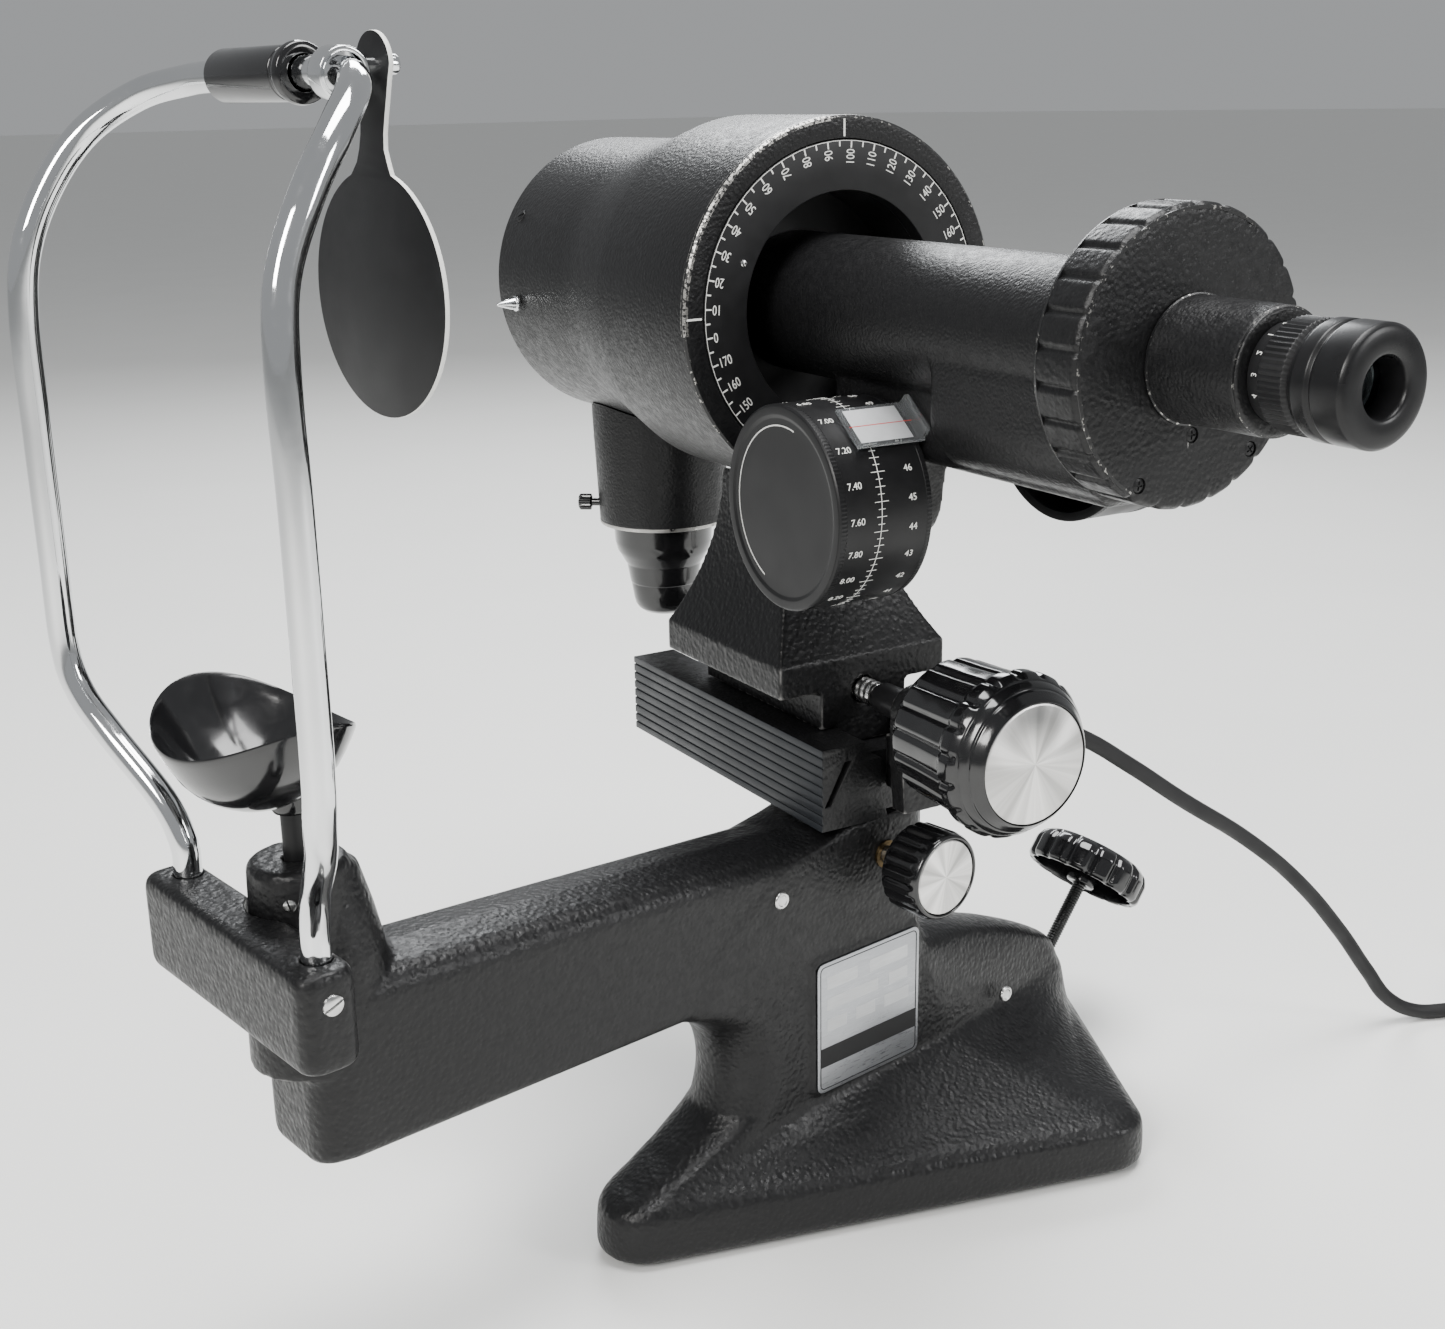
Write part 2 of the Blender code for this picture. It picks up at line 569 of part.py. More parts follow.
def lamp(head):
    at = (LAMP_X, 0, 0)
    tube = [(30, 294), (33.6, 294), (34.2, 297), (36.4, 352), (36.8, 372), (31, 372)]
    house = add("lamp_house", turned(tube, 20, loop=True), BLACK_CAST, head, at)
    cut(house, helper(drum(FRONT_R + 0.8, -240, -100, 32), head, (0, 0, AXIS_Z), (1, 0, 0)))
    cut(house, helper(drum(2.6, 20, 44, 16), head, (LAMP_X, 0, 304), LAMP_SCREW))
    cap = [(0, 247), (12, 249), (16, 270), (22.5, 284), (24, 299), (29.6, 299), (29.6, 293.5),
           (27, 293.2), (26.4, 284), (23.6, 276.5), (20.4, 271), (17, 252), (14.5, 246), (9, 243.2), (0, 243)]
    add("lamp_cap", turned(cap, 16), GLOSS_BLACK, head, at)
    bulb = [(0, 300), (5, 298.5), (8.5, 293), (9, 286), (7.5, 278), (6.5, 270), (6.5, 262), (10, 262),
            (10, 252), (9, 249.6), (0, 249.6)]
    add("lamp_bulb", turned(bulb, 14), GLASS, head, at)
    screw = [(0, 46), (3.2, 46), (4.4, 45.2), (4.4, 39.4), (3.4, 39), (2.2, 38.6), (2.2, 30.6), (0, 30.6)]
    add("lamp_screw", turned(screw, 16), GLOSS_BLACK, head, (LAMP_X, 0, 304), LAMP_SCREW)


# ----------------------------------------------------------------------------------------- barrel

def barrel(head):
    at = (0, 0, AXIS_Z)
    along = (1, 0, 0)
    dial = [(HOLE_R, -14), (DIAL_R, -14), (DIAL_R, FACE_X), (HOLE_R, FACE_X)]
    add("degree_dial", turned(dial, 36, loop=True), SATIN_BLACK, head, at, along)
    carrier = [(HOLE_R, -14.4), (55.8, -14.4), (55.8, -50), (26, -50), (26, -46), (HOLE_R, -46)]
    add("barrel_carrier", turned(carrier, 24, loop=True), SATIN_BLACK, head, at, along)
    casting = add("barrel_casting", drum(BARREL_R, -45.6, 189.6, 28), BLACK_CAST, head, at, along)
    keel = rounded((-18, AXIS_Z - 57), (18, AXIS_Z), 8, 3)
    belly = rounded((-31, AXIS_Z - 55), (31, AXIS_Z + 10), 24, 5)
    x, z, _ = NEAR_DRUM
    lug = arc((x, AXIS_Z + z), 20, 180, 360, 10) + [(x + 26, AXIS_Z - 40), (x - 26, AXIS_Z - 40)]
    join(casting, helper(prism(keel, 14, 186, "x"), head), helper(prism(belly, 100, 189, "x"), head),
         helper(prism(lug, -17, 4, "y"), head))
    cut(casting, helper(drum(24, -60, 200, 32), head, at, along),
        helper(drum(4.4, -10, 40, 16), head, (x, 0, AXIS_Z + z), (0, -1, 0)),
        helper(drum(4.4, 4, 40, 16), head, (FAR_DRUM[0], 0, AXIS_Z + FAR_DRUM[1]), (0, 1, 0)))
    cover = [(18, COVER_X), (53, COVER_X), (COVER_R, 191.4), (COVER_R, 210), (52.6, 212), (18, 212)]
    add("rear_cover", turned(cover, 52, loop=True, ripple=(26, 1.3, 50)), BLACK_CAST, head, at, along)
    neck = [(15, 212.3), (23.2, 212.3), (22.6, 214), (22.3, 252), (21.3, 254), (15, 254)]
    add("eyepiece_neck", turned(neck, 20, loop=True), BLACK_CAST, head, at, along)


def drums(head):
    drums_made = (("horizontal", NEAR_DRUM, -1, 20), ("vertical", FAR_DRUM, 1, 34))
    for name, (x, z, radius), side, inner in drums_made:
        at = (x, 0, AXIS_Z + z)
        along = (0, side, 0)
        skin = [(0, 65.4), (radius - 6, 65.4), (radius - 4.5, 66), (radius - 1, 66), (radius, 65),
                (radius, inner), (radius - 4, inner), (radius - 4, 60), (9, 60), (9, inner + 6),
                (4.3, inner + 6), (4.3, 58), (0, 58)]
        add(name + "_drum", turned(skin, 22), SATIN_BLACK, head, at, along)
        end = -6 if side < 0 else 8
        shaft = [(0, 57.6), (4.0, 57.6), (4.0, end), (0, end)]
        add(name + "_drum_shaft", turned(shaft, 16), STEEL, head, at, along)


def prisms(head):
    """The two sliding prisms inside the barrel, one above the other."""
    for name, turn in (("horizontal_prism", 0), ("vertical_prism", 180)):
        outline = arc((0, 0), 21, turn + 8, turn + 172, 12)
        add(name, prism(outline, 60, 70, "x"), GLASS, head, (0, 0, AXIS_Z))


def cursors(head):
    """Clear index windows that lie over the drums' edges, each on a foot fixed to the barrel's side."""
    cursors_made = (("horizontal_cursor", NEAR_DRUM, -1, 18), ("vertical_cursor", FAR_DRUM, 1, 32))
    for name, (x, z, radius), side, face in cursors_made:
        turn = math.radians(CURSOR_TILT)
        out = Vector((math.cos(turn), math.sin(turn)))
        across = Vector((-out.y, out.x))
        middle = Vector((x, AXIS_Z + z))

        def plate(near, far, low, high, half):
            corners = ((low, -half), (high, -half), (high, half), (low, half))
            flat = [middle + out * (radius + reach) + across * shift for reach, shift in corners]
            return prism([tuple(place) for place in flat], side * near, side * far, "y")

        window = add(name, plate(face + 1, 52, 1.0, 2.6, 11), CLEAR, head)
        join(window, helper(plate(face + 0.4, face + 2.4, 0.8, 8, 10), head))


def eyepiece(head):
    at = (0, 0, AXIS_Z)
    along = (1, 0, 0)
    ring = [(12, 246), (14.6, 246), (14.6, 254.3), (17.2, 254.4), (17.4, 260), (19.7, 261), (19.7, 271), (17.4, 273),
            (12, 273)]
    add("diopter_ring", turned(ring, 16, loop=True), SATIN_BLACK, head, at, along)
    cup = [(9.7, 291), (10.6, 297), (18.8, 297), (20.5, 295), (20.5, 284), (19, 282.6), (20.4, 281.2), (20.4, 276),
           (19, 273.3), (12.4, 273.3), (12.4, 284), (9.7, 286)]
    add("eyecup", turned(cup, 16, loop=True), GLOSS_BLACK, head, at, along)
    add("eye_lens", turned([(0, 283.6), (6, 283), (12, 281.4), (12, 278.6), (0, 278.6)]), GLASS, head, at, along)


# ------------------------------------------------------------------------------------------- cord

CORD_ROUTE = ((55.9, -64.4, 228), (69.3, -67.5, 226), (84, -72, 219), (114, -78.5, 199), (149, -84.5, 174),
              (200, -93.5, 139), (237, -100, 108), (275, -106, 68), (299, -110.5, 38), (317, -115.5, 16),
              (333, -123, 6), (350, -133.5, 4.4))


def cord(base, head):
    gland = [(0, 21.5), (4.5, 21.5), (5.6, 8), (7.6, 7), (7.6, 0.3), (0, 0.3)]
    add("cord_gland", turned(gland, 16), RUBBER, head, (54, 44, 228), (0, 1, 0))
    rod("cord_tube", CORD_ROUTE, CORD_R, RUBBER, base, 20, 2)
    low = 0.3
    coil = [(COIL_R - 12, low + 4), (COIL_R - 8, low), (COIL_R + 8, low), (COIL_R + 12, low + 4),
            (COIL_R + 10, 12), (COIL_R + 6, 16), (COIL_R - 6, 16), (COIL_R - 10, 12)]
    add("cord_coil", turned(coil, 20, loop=True), RUBBER, base, (*COIL_MIDDLE, 0))


def plug(base):
    """A three-pin plug that lies beside the coil."""
    rings = []
    for x, half, high in ((0, 5, 7), (6, 8, 11), (14, 12.5, 19), (30, 13.5, 21), (38, 13.5, 21), (40, 12.5, 19.5)):
        rings.append([(x, y, z) for y, z in rounded((-half, 0.3), (half, high), 3.5, 3)])
    body = add("cord_plug", loft(rings), RUBBER, base, (*PLUG, 0))
    for side in (-1, 1):
        blade = box((38, side * 6.4 - 0.8, 11), (58, side * 6.4 + 0.8, 17))
        join(body, helper(blade, base, (*PLUG, 0)))
    join(body, helper(drum(2.4, 38, 60, 16), base, (PLUG[0], PLUG[1], 6.5), (1, 0, 0)))


def main():
    clear_scene()
    base = frame_empty("base_frame", 0)
    head = frame_empty("head_frame", HEAD_TURN)
    base_casting(base)
    base_fittings(base)
    headrest(base)
    occluder(base)
    chin_rest(base)
    lock_knob(base)
    elevation_knob(base)
    lift_column(base)
    slide_bed(head)
    screw_bracket(head)
    focus_drive(head)
    carriage(head)
    housing(head)
    lamp(head)
    barrel(head)
    drums(head)
    prisms(head)
    cursors(head)
    eyepiece(head)
    cord(base, head)
    plug(base)


main()
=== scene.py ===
"""The looks of the table keratometer: fine surfaces, materials, dial markings, cord, light and camera.

Lengths are millimetres. BASE is the stand's frame, with its origin under the lift column. HEAD is the
same frame turned with the telescope, +X towards the eyepiece.
"""
import json
import math

import bmesh
import bpy
from mathutils import Matrix, Vector


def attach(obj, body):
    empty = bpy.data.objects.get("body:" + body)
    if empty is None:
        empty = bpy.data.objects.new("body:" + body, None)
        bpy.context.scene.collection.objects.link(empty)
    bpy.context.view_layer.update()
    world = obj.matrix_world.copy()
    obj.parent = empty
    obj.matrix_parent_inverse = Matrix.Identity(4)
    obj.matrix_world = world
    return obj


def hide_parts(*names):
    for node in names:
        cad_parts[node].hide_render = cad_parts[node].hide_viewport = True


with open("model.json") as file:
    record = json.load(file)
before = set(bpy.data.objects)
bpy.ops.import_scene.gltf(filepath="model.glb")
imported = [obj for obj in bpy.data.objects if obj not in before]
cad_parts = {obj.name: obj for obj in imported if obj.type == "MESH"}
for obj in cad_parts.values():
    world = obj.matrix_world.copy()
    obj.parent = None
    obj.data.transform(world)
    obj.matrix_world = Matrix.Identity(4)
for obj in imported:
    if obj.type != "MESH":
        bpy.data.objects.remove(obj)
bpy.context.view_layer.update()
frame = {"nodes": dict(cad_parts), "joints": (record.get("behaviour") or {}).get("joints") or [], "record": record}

MM = 0.001
FINE = 128                     # flats round a large turned piece
JOINTS = {joint["name"]: joint for joint in frame["joints"]}
NODE_SLOTS = {row["node"]: row["material_slot"] for row in frame["record"]["subparts"]}
COLUMN = Vector(JOINTS["head_swivel"]["pos_m"])
TELESCOPE = Vector(JOINTS["carriage_slide"]["axis"])
BASE = Matrix.Translation((COLUMN.x, COLUMN.y, 0))
HEAD = BASE @ Matrix.Rotation(math.atan2(TELESCOPE.y, TELESCOPE.x), 4, "Z")

AXIS_Z = 423.4                 # telescope axis above the table
RIM_R = 83.0
FACE_X = -5.2                  # degree dial's face
FRONT_R = 71.7
POST_X = -291.0                # chin post and its boss
SIDE = 27.2                    # half width of the pedestal
CROWN = (-277.0, 524.5)        # x, z of the tubes' top
PIVOT = (-53.0, 526.5)         # y, z of the occluder's pin
PIVOT_X = -278.4
TUBE_R = 5.55                  # head rest tubes
TUBE_FOOT = (-312.5, 51.5)     # x, y where a tube enters the bar
OCCLUDER_X = -265.3
SCREW_Z = 248.0
LAMP_X = -180.0
PINION = (-2.0, 169.5)
NEAR_DRUM = (45.0, -75.0, 44.0)    # x, z from the telescope axis, radius
FAR_DRUM = (104.0, -37.0, 45.0)
CURSOR_TILT = 52.0
COVER_LANDS = 26
NUMBER_R = 68.6                # outer end of the dial's numbers
RING_R = 17.35                 # where the dioptre ring's numbers lie
INDEX_ANGLE = 187              # where the dial's 0 stands, in degrees
LINE_HALF = 0.13               # half width of a drum's fine lines
X = (1, 0, 0)
Y = (0, 1, 0)
Z = (0, 0, 1)


# ---------------- shapes

def set_at(frame_matrix, at=(0, 0, 0), axis=Z):
    """The place of a piece drawn along +Z about its own origin."""
    turn = Vector(Z).rotation_difference(Vector(axis)).to_matrix().to_4x4()
    return frame_matrix @ Matrix.Translation(Vector(at) * MM) @ turn


POST = set_at(BASE, (POST_X, 0, 0))
MARK_PLACE = set_at(HEAD, (0, 0, AXIS_Z))      # dial and drum marks are laid from the telescope axis
AXIS = set_at(HEAD, (0, 0, AXIS_Z), X)


def new_object(name, data):
    obj = bpy.data.objects.new(name, data)
    bpy.context.scene.collection.objects.link(obj)
    return obj


def mesh_of_curve(curve):
    """The surface of a curve or a word, as loose mesh data."""
    obj = new_object("curve", curve)
    mesh = evaluated_mesh(obj)
    bpy.data.objects.remove(obj, do_unlink=True)
    return mesh


def closed_mesh(name, points, faces):
    """A mesh from points in metres, with its faces turned outwards."""
    mesh = bpy.data.meshes.new(name)
    mesh.from_pydata(points, [], faces)
    work = bmesh.new()
    work.from_mesh(mesh)
    bmesh.ops.recalc_face_normals(work, faces=work.faces)
    work.to_mesh(mesh)
    work.free()
    return mesh


def piece(name, shape, look, body, place, node=None, slot=None, sharp=34):
    """Makes a piece from (points, faces) in millimetres and puts it on its body."""
    points, faces = shape
    mesh = closed_mesh(name, [tuple(c * MM for c in point) for point in points], faces)
    obj = new_object(name, mesh)
    obj.matrix_world = place
    return finish_piece(obj, look, body, node, slot, sharp)


def finish_piece(obj, look, body, node=None, slot=None, sharp=34):
    """Shades and dresses a piece, puts it on its body and hides the CAD nodes that it stands for."""
    if obj.type == "MESH":
        obj.data.shade_smooth()
        obj.data.set_sharp_from_angle(angle=math.radians(sharp))
    obj.data.materials.clear()
    obj.data.materials.append(look)
    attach(obj, body)
    if node:
        nodes = [node] if isinstance(node, str) else node
        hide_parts(*nodes)
        slot = slot or NODE_SLOTS[nodes[0]]
    return obj


def turned(profile, sides=FINE, loop=False, shape=None):
    """Spins (radius, height) pairs about Z. shape(radius, height, angle) may change the radius."""
    points = []
    rows = []
    for radius, height in profile:
        count = 1 if radius == 0 else sides
        rows.append([len(points) + k for k in range(count)])
        for k in range(count):
            angle = math.tau * k / sides
            reach = shape(radius, height, angle) if shape else radius
            points.append((reach * math.cos(angle), reach * math.sin(angle), height))
    pairs = list(zip(rows, rows[1:])) + ([(rows[-1], rows[0])] if loop else [])
    faces = []
    for upper, lower in pairs:
        for k in range(sides):
            corner = [upper[k % len(upper)], upper[(k + 1) % len(upper)],
                      lower[(k + 1) % len(lower)], lower[k % len(lower)]]
            face = list(dict.fromkeys(corner))
            if len(face) > 2:
                faces.append(face)
    return points, faces


def spin(name, profile, look, body, place, node=None, slot=None, soft=0, sides=FINE, loop=False, sharp=34):
    """A turned piece from its (radius, height) profile, with the corners rounded by soft."""
    if soft:
        profile = rounded_profile(profile, soft, loop)
    return piece(name, turned(profile, sides, loop), look, body, place, node, slot, sharp)


def rounded_profile(profile, radius, loop=False, steps=3):
    """Rounds the corners of a turned profile."""
    made = []
    count = len(profile)
    for k, (r, z) in enumerate(profile):
        here = Vector((r, z))
        before = Vector(profile[k - 1]) if k or loop else None
        after = Vector(profile[(k + 1) % count]) if k + 1 < count or loop else None
        if before is None or after is None:
            made.append((r, z))
            continue
        back = before - here
        ahead = after - here
        reach = min(radius, back.length * 0.45, ahead.length * 0.45)
        if r == 0 or reach < 0.02 or back.angle(ahead) > math.radians(160):
            made.append((r, z))
            continue
        start = here + back.normalized() * reach
        end = here + ahead.normalized() * reach
        for step in range(steps + 1):
            t = step / steps
            spot = start * (1 - t) ** 2 + here * 2 * t * (1 - t) + end * t ** 2
            made.append((spot.x, spot.y))
    return made


def filled(profile, gap):
    """Adds rows so that no step of the profile is longer than gap."""
    made = [profile[0]]
    for before, after in zip(profile, profile[1:]):
        steps = max(1, math.ceil(math.dist(before, after) / gap))
        for k in range(1, steps + 1):
            t = k / steps
            made.append((before[0] + (after[0] - before[0]) * t, before[1] + (after[1] - before[1]) * t))
    return made


def grooves(count, depth, least, power, low=-1e9, high=1e9):
    """A shape for turned(): count grooves along the height, narrower as power grows."""
    def shape(radius, height, angle):
        if radius < least or not low <= height <= high:
            return radius
        return radius - depth * (0.5 + 0.5 * math.cos(count * angle)) ** power
    return shape


def threaded(radius, depth, pitch, low, high, sides=40, rows_per_turn=8):
    """A rod with a real helical thread."""
    rows = round((high - low) / pitch * rows_per_turn)
    heights = [low + (high - low) * k / rows for k in range(rows + 1)]
    profile = [(0, low)] + [(radius, height) for height in heights] + [(0, high)]

    def shape(reach, height, angle):
        turn = (height / pitch - angle / math.tau) % 1
        return reach - depth * abs(2 * turn - 1)
    return turned(profile, sides, shape=shape)


def loft(rings, capped=True):
    count = len(rings[0])
    points = [point for ring in rings for point in ring]
    faces = []
    for level in range(len(rings) - 1):
        first = level * count
        for k in range(count):
            after = (k + 1) % count
            faces.append([first + k, first + after, first + count + after, first + count + k])
    if capped:
        faces.append(list(range(count)))
        faces.append([len(points) - count + k for k in range(count)])
    return points, faces


def swept(profile, start, end, steps=90):
    """A closed (radius, height) outline carried part of the way round Z, in degrees."""
    rings = []
    for k in range(steps + 1):
        angle = math.radians(start + (end - start) * k / steps)
        rings.append([(r * math.cos(angle), r * math.sin(angle), z) for r, z in profile])
    return loft(rings)


def prism(outline, low, high, along="z"):
    order = {"x": lambda u, v, w: (w, u, v), "y": lambda u, v, w: (u, w, v), "z": lambda u, v, w: (u, v, w)}
    return loft([[order[along](u, v, w) for u, v in outline] for w in (low, high)])


def box(low, high):
    outline = [(low[0], low[1]), (high[0], low[1]), (high[0], high[1]), (low[0], high[1])]
    return prism(outline, low[2], high[2])


def arc(middle, radius, start, end, steps):
    angles = [math.radians(start + (end - start) * k / steps) for k in range(steps + 1)]
    return [(middle[0] + radius * math.cos(a), middle[1] + radius * math.sin(a)) for a in angles]


def rounded(low, high, radius, steps=8):
    corners = (((high[0] - radius, low[1] + radius), -90), ((high[0] - radius, high[1] - radius), 0),
               ((low[0] + radius, high[1] - radius), 90), ((low[0] + radius, low[1] + radius), 180))
    outline = []
    for middle, start in corners:
        outline += arc(middle, radius, start, start + 90, steps)
    return outline


def evaluated_mesh(obj):
    graph = bpy.context.evaluated_depsgraph_get()
    return bpy.data.meshes.new_from_object(obj.evaluated_get(graph))


def bevelled(obj, width, segments=3, angle=32):
    """Rounds a piece's edges for good."""
    step = obj.modifiers.new("edges", "BEVEL")
    step.width = width * MM
    step.segments = segments
    step.limit_method = "ANGLE"
    step.angle_limit = math.radians(angle)
    step.harden_normals = False
    mesh = evaluated_mesh(obj)
    obj.modifiers.clear()
    obj.data = mesh
    obj.data.shade_smooth()
    obj.data.set_sharp_from_angle(angle=math.radians(38))
    return obj


def scratch(shape, place):
    """A loose solid for a join or a cut."""
    points, faces = shape
    placed = [tuple(place @ Vector(tuple(c * MM for c in point))) for point in points]
    return new_object("scratch", closed_mesh("scratch", placed, faces))


def rod(radius, high, low, place, sides=48):
    """A loose plain cylinder along the place's Z."""
    return scratch(turned([(0, high), (radius, high), (radius, low), (0, low)], sides), place)


def solid(first, joined=(), removed=()):
    """Boolean joins and cuts of scratch solids, as one loose object."""
    for operation, others in (("UNION", joined), ("DIFFERENCE", removed)):
        for other in others:
            step = first.modifiers.new("join", "BOOLEAN")
            step.operation = operation
            step.object = other
    mesh = evaluated_mesh(first)
    first.modifiers.clear()
    first.data = mesh
    for other in (*joined, *removed):
        bpy.data.objects.remove(other, do_unlink=True)
    return first


def cast(obj, name, look, body, node, voxel, rounds):
    """Gives a loose solid the soft edges and fillets of a sand casting."""
    remesh = obj.modifiers.new("skin", "REMESH")
    remesh.mode = "VOXEL"
    remesh.voxel_size = voxel * MM
    smooth = obj.modifiers.new("soften", "SMOOTH")
    smooth.iterations = rounds
    smooth.factor = 0.5
    mesh = evaluated_mesh(obj)
    obj.modifiers.clear()
    obj.data = mesh
    obj.name = name
    mesh.name = name
    return finish_piece(obj, look, body, node, sharp=60)


def from_node(node):
    """A welded loose copy of a CAD node."""
    mesh = frame["nodes"][node].data
    made = bpy.data.meshes.new(node + "_copy")
    made.from_pydata([tuple(v.co) for v in mesh.vertices], [], [list(p.vertices) for p in mesh.polygons])
    work = bmesh.new()
    work.from_mesh(made)
    bmesh.ops.remove_doubles(work, verts=work.verts, dist=2e-6)
    bmesh.ops.dissolve_limit(work, angle_limit=math.radians(1), verts=work.verts, edges=work.edges)
    work.to_mesh(made)
    work.free()
    return new_object(node + "_copy", made)


def edged(node, name, look, body, width):
    """A CAD node's own shape with rounded edges."""
    obj = from_node(node)
    obj.name = name
    bevelled(obj, width)
    return finish_piece(obj, look, body, node, sharp=38)


# ---------------- materials

class Look:
    """A small builder for one procedural material."""

    def __init__(self, name, colour, roughness, metallic=0.0, **sockets):
        self.material = bpy.data.materials.new(name)
        self.material.use_nodes = True
        self.nodes = self.material.node_tree.nodes
        self.links = self.material.node_tree.links
        self.shader = self.nodes["Principled BSDF"]
        self.shader.inputs["Base Color"].default_value = (*colour, 1)
        self.shader.inputs["Roughness"].default_value = roughness
        self.shader.inputs["Metallic"].default_value = metallic
        for socket, value in sockets.items():
            self.shader.inputs[socket.replace("_", " ")].default_value = value
        self.place = self.nodes.new("ShaderNodeTexCoord").outputs["Object"]
        self.height = None

    def noise(self, scale, detail=3.0, distortion=0.0):
        node = self.nodes.new("ShaderNodeTexNoise")
        node.inputs["Scale"].default_value = scale
        node.inputs["Detail"].default_value = detail
        node.inputs["Distortion"].default_value = distortion
        self.links.new(self.place, node.inputs["Vector"])
        return node.outputs["Fac"]

    def cells(self, scale):
        node = self.nodes.new("ShaderNodeTexVoronoi")
        node.feature = "SMOOTH_F1"
        node.inputs["Scale"].default_value = scale
        self.links.new(self.place, node.inputs["Vector"])
        return node.outputs["Distance"]

    def spread(self, value, low, high, out_low, out_high):
        node = self.nodes.new("ShaderNodeMapRange")
        for socket, number in zip(("From Min", "From Max", "To Min", "To Max"),
                                  (low, high, out_low, out_high)):
            node.inputs[socket].default_value = number
        self.links.new(value, node.inputs["Value"])
        return node.outputs["Result"]

    def tint(self, value, dark, light):
        node = self.nodes.new("ShaderNodeMix")
        node.data_type = "RGBA"
        node.inputs["A"].default_value = (*dark, 1)
        node.inputs["B"].default_value = (*light, 1)
        self.links.new(value, node.inputs["Factor"])
        self.links.new(node.outputs["Result"], self.shader.inputs["Base Color"])

    def roughen(self, value, low, high, smooth, rough):
        self.links.new(self.spread(value, low, high, smooth, rough), self.shader.inputs["Roughness"])

    def bump(self, value, distance, strength=1.0):
        node = self.nodes.new("ShaderNodeBump")
        node.inputs["Distance"].default_value = distance
        node.inputs["Strength"].default_value = strength
        self.links.new(value, node.inputs["Height"])
        if self.height:
            self.links.new(self.height, node.inputs["Normal"])
        self.height = node.outputs["Normal"]
        self.links.new(self.height, self.shader.inputs["Normal"])

    def worn(self, low, high, metal=(0.42, 0.41, 0.4)):
        """Paint rubbed thin on outer edges."""
        edge = self.spread(self.nodes.new("ShaderNodeNewGeometry").outputs["Pointiness"], low, high, 0, 1)
        patch = self.spread(self.noise(160, 4), 0.38, 0.62, 0, 1)
        both = self.nodes.new("ShaderNodeMath")
        both.operation = "MULTIPLY"
        self.links.new(edge, both.inputs[0])
        self.links.new(patch, both.inputs[1])
        before = self.shader.inputs["Base Color"].links[0].from_socket
        mix = self.nodes.new("ShaderNodeMix")
        mix.data_type = "RGBA"
        mix.inputs["B"].default_value = (*metal, 1)
        self.links.new(both.outputs[0], mix.inputs["Factor"])
        self.links.new(before, mix.inputs["A"])
        self.links.new(mix.outputs["Result"], self.shader.inputs["Base Color"])
        self.links.new(both.outputs[0], self.shader.inputs["Metallic"])


def shade(colour, share):
    return tuple(c * share for c in colour)


def wrinkle_paint(name, colour, wear, cell, depth):
    """Black hammered enamel: small soft lumps with a satin gloss."""
    look = Look(name, colour, 0.4, Specular_IOR_Level=0.29)
    look.tint(look.noise(900, 2), shade(colour, 0.75), shade(colour, 1.5))
    look.roughen(look.noise(260, 4), 0.3, 0.7, 0.3, 0.48)
    look.bump(look.cells(cell), depth, 0.8)
    look.bump(look.noise(1500, 3), 0.00012, 0.7)
    if wear:
        look.worn(*wear)
    return look.material


def chipped(name, bare, scale):
    """Paint rubbed through to metal in small specks, which join up as bare grows."""
    look = Look(name, PAINT, 0.34)
    speck = look.spread(look.noise(scale, 6, 0.4), 0.56 - 0.2 * bare, 0.6 - 0.2 * bare, 0, 1)
    look.tint(speck, PAINT, (0.4, 0.39, 0.37))
    look.links.new(speck, look.shader.inputs["Metallic"])
    look.bump(look.noise(900, 3), 0.00012, 0.7)
    return look.material


def plastic(name, colour, roughness):
    look = Look(name, colour, roughness, Coat_Weight=0.35, Coat_Roughness=0.08)
    look.tint(look.noise(60, 4), shade(colour, 0.8), shade(colour, 1.35))
    look.roughen(look.noise(90, 5, 0.6), 0.35, 0.7, roughness * 0.75, roughness * 1.9)
    look.bump(look.noise(700, 2), 0.00003, 0.35)
    return look.material


def polished(name, colour, roughness, streak=40):
    look = Look(name, colour, roughness, 1.0)
    look.tint(look.noise(streak, 4), shade(colour, 0.9), colour)
    look.roughen(look.noise(120, 5, 1.0), 0.35, 0.75, roughness * 0.6, roughness * 2.4)
    look.bump(look.noise(500, 2), 0.00001, 0.2)
    return look.material


def spun(name, colour):
    """Lathe-turned aluminium, with fine rings about its own axis, an anisotropic sheen and a painted sunburst
    highlight: lighter and darker wedges by angle, painted into the colour.
    """
    look = Look(name, colour, 0.3, 1.0, Anisotropic=0.92)
    tangent = look.nodes.new("ShaderNodeTangent")
    tangent.direction_type = "RADIAL"
    tangent.axis = "Z"
    look.links.new(tangent.outputs["Tangent"], look.shader.inputs["Tangent"])
    rings = look.nodes.new("ShaderNodeTexWave")
    rings.wave_type = "RINGS"
    rings.rings_direction = "Z"
    rings.inputs["Scale"].default_value = 700
    rings.inputs["Distortion"].default_value = 0.4
    look.links.new(look.place, rings.inputs["Vector"])
    look.bump(rings.outputs["Fac"], 0.00002, 0.35)
    # Painted reflection: the colour is lighter and darker in wedges by angle round the axis, a painted sunburst
    # highlight.
    fan = look.nodes.new("ShaderNodeTexGradient")
    fan.gradient_type = "RADIAL"
    look.links.new(look.place, fan.inputs["Vector"])
    painted_sunburst = look.nodes.new("ShaderNodeTexNoise")
    painted_sunburst.noise_dimensions = "1D"
    painted_sunburst.inputs["Scale"].default_value = 9
    painted_sunburst.inputs["Detail"].default_value = 5
    look.links.new(fan.outputs["Fac"], painted_sunburst.inputs["W"])
    look.tint(look.spread(painted_sunburst.outputs["Fac"], 0.35, 0.65, 0, 1), shade(colour, 0.5), colour)
    return look.material


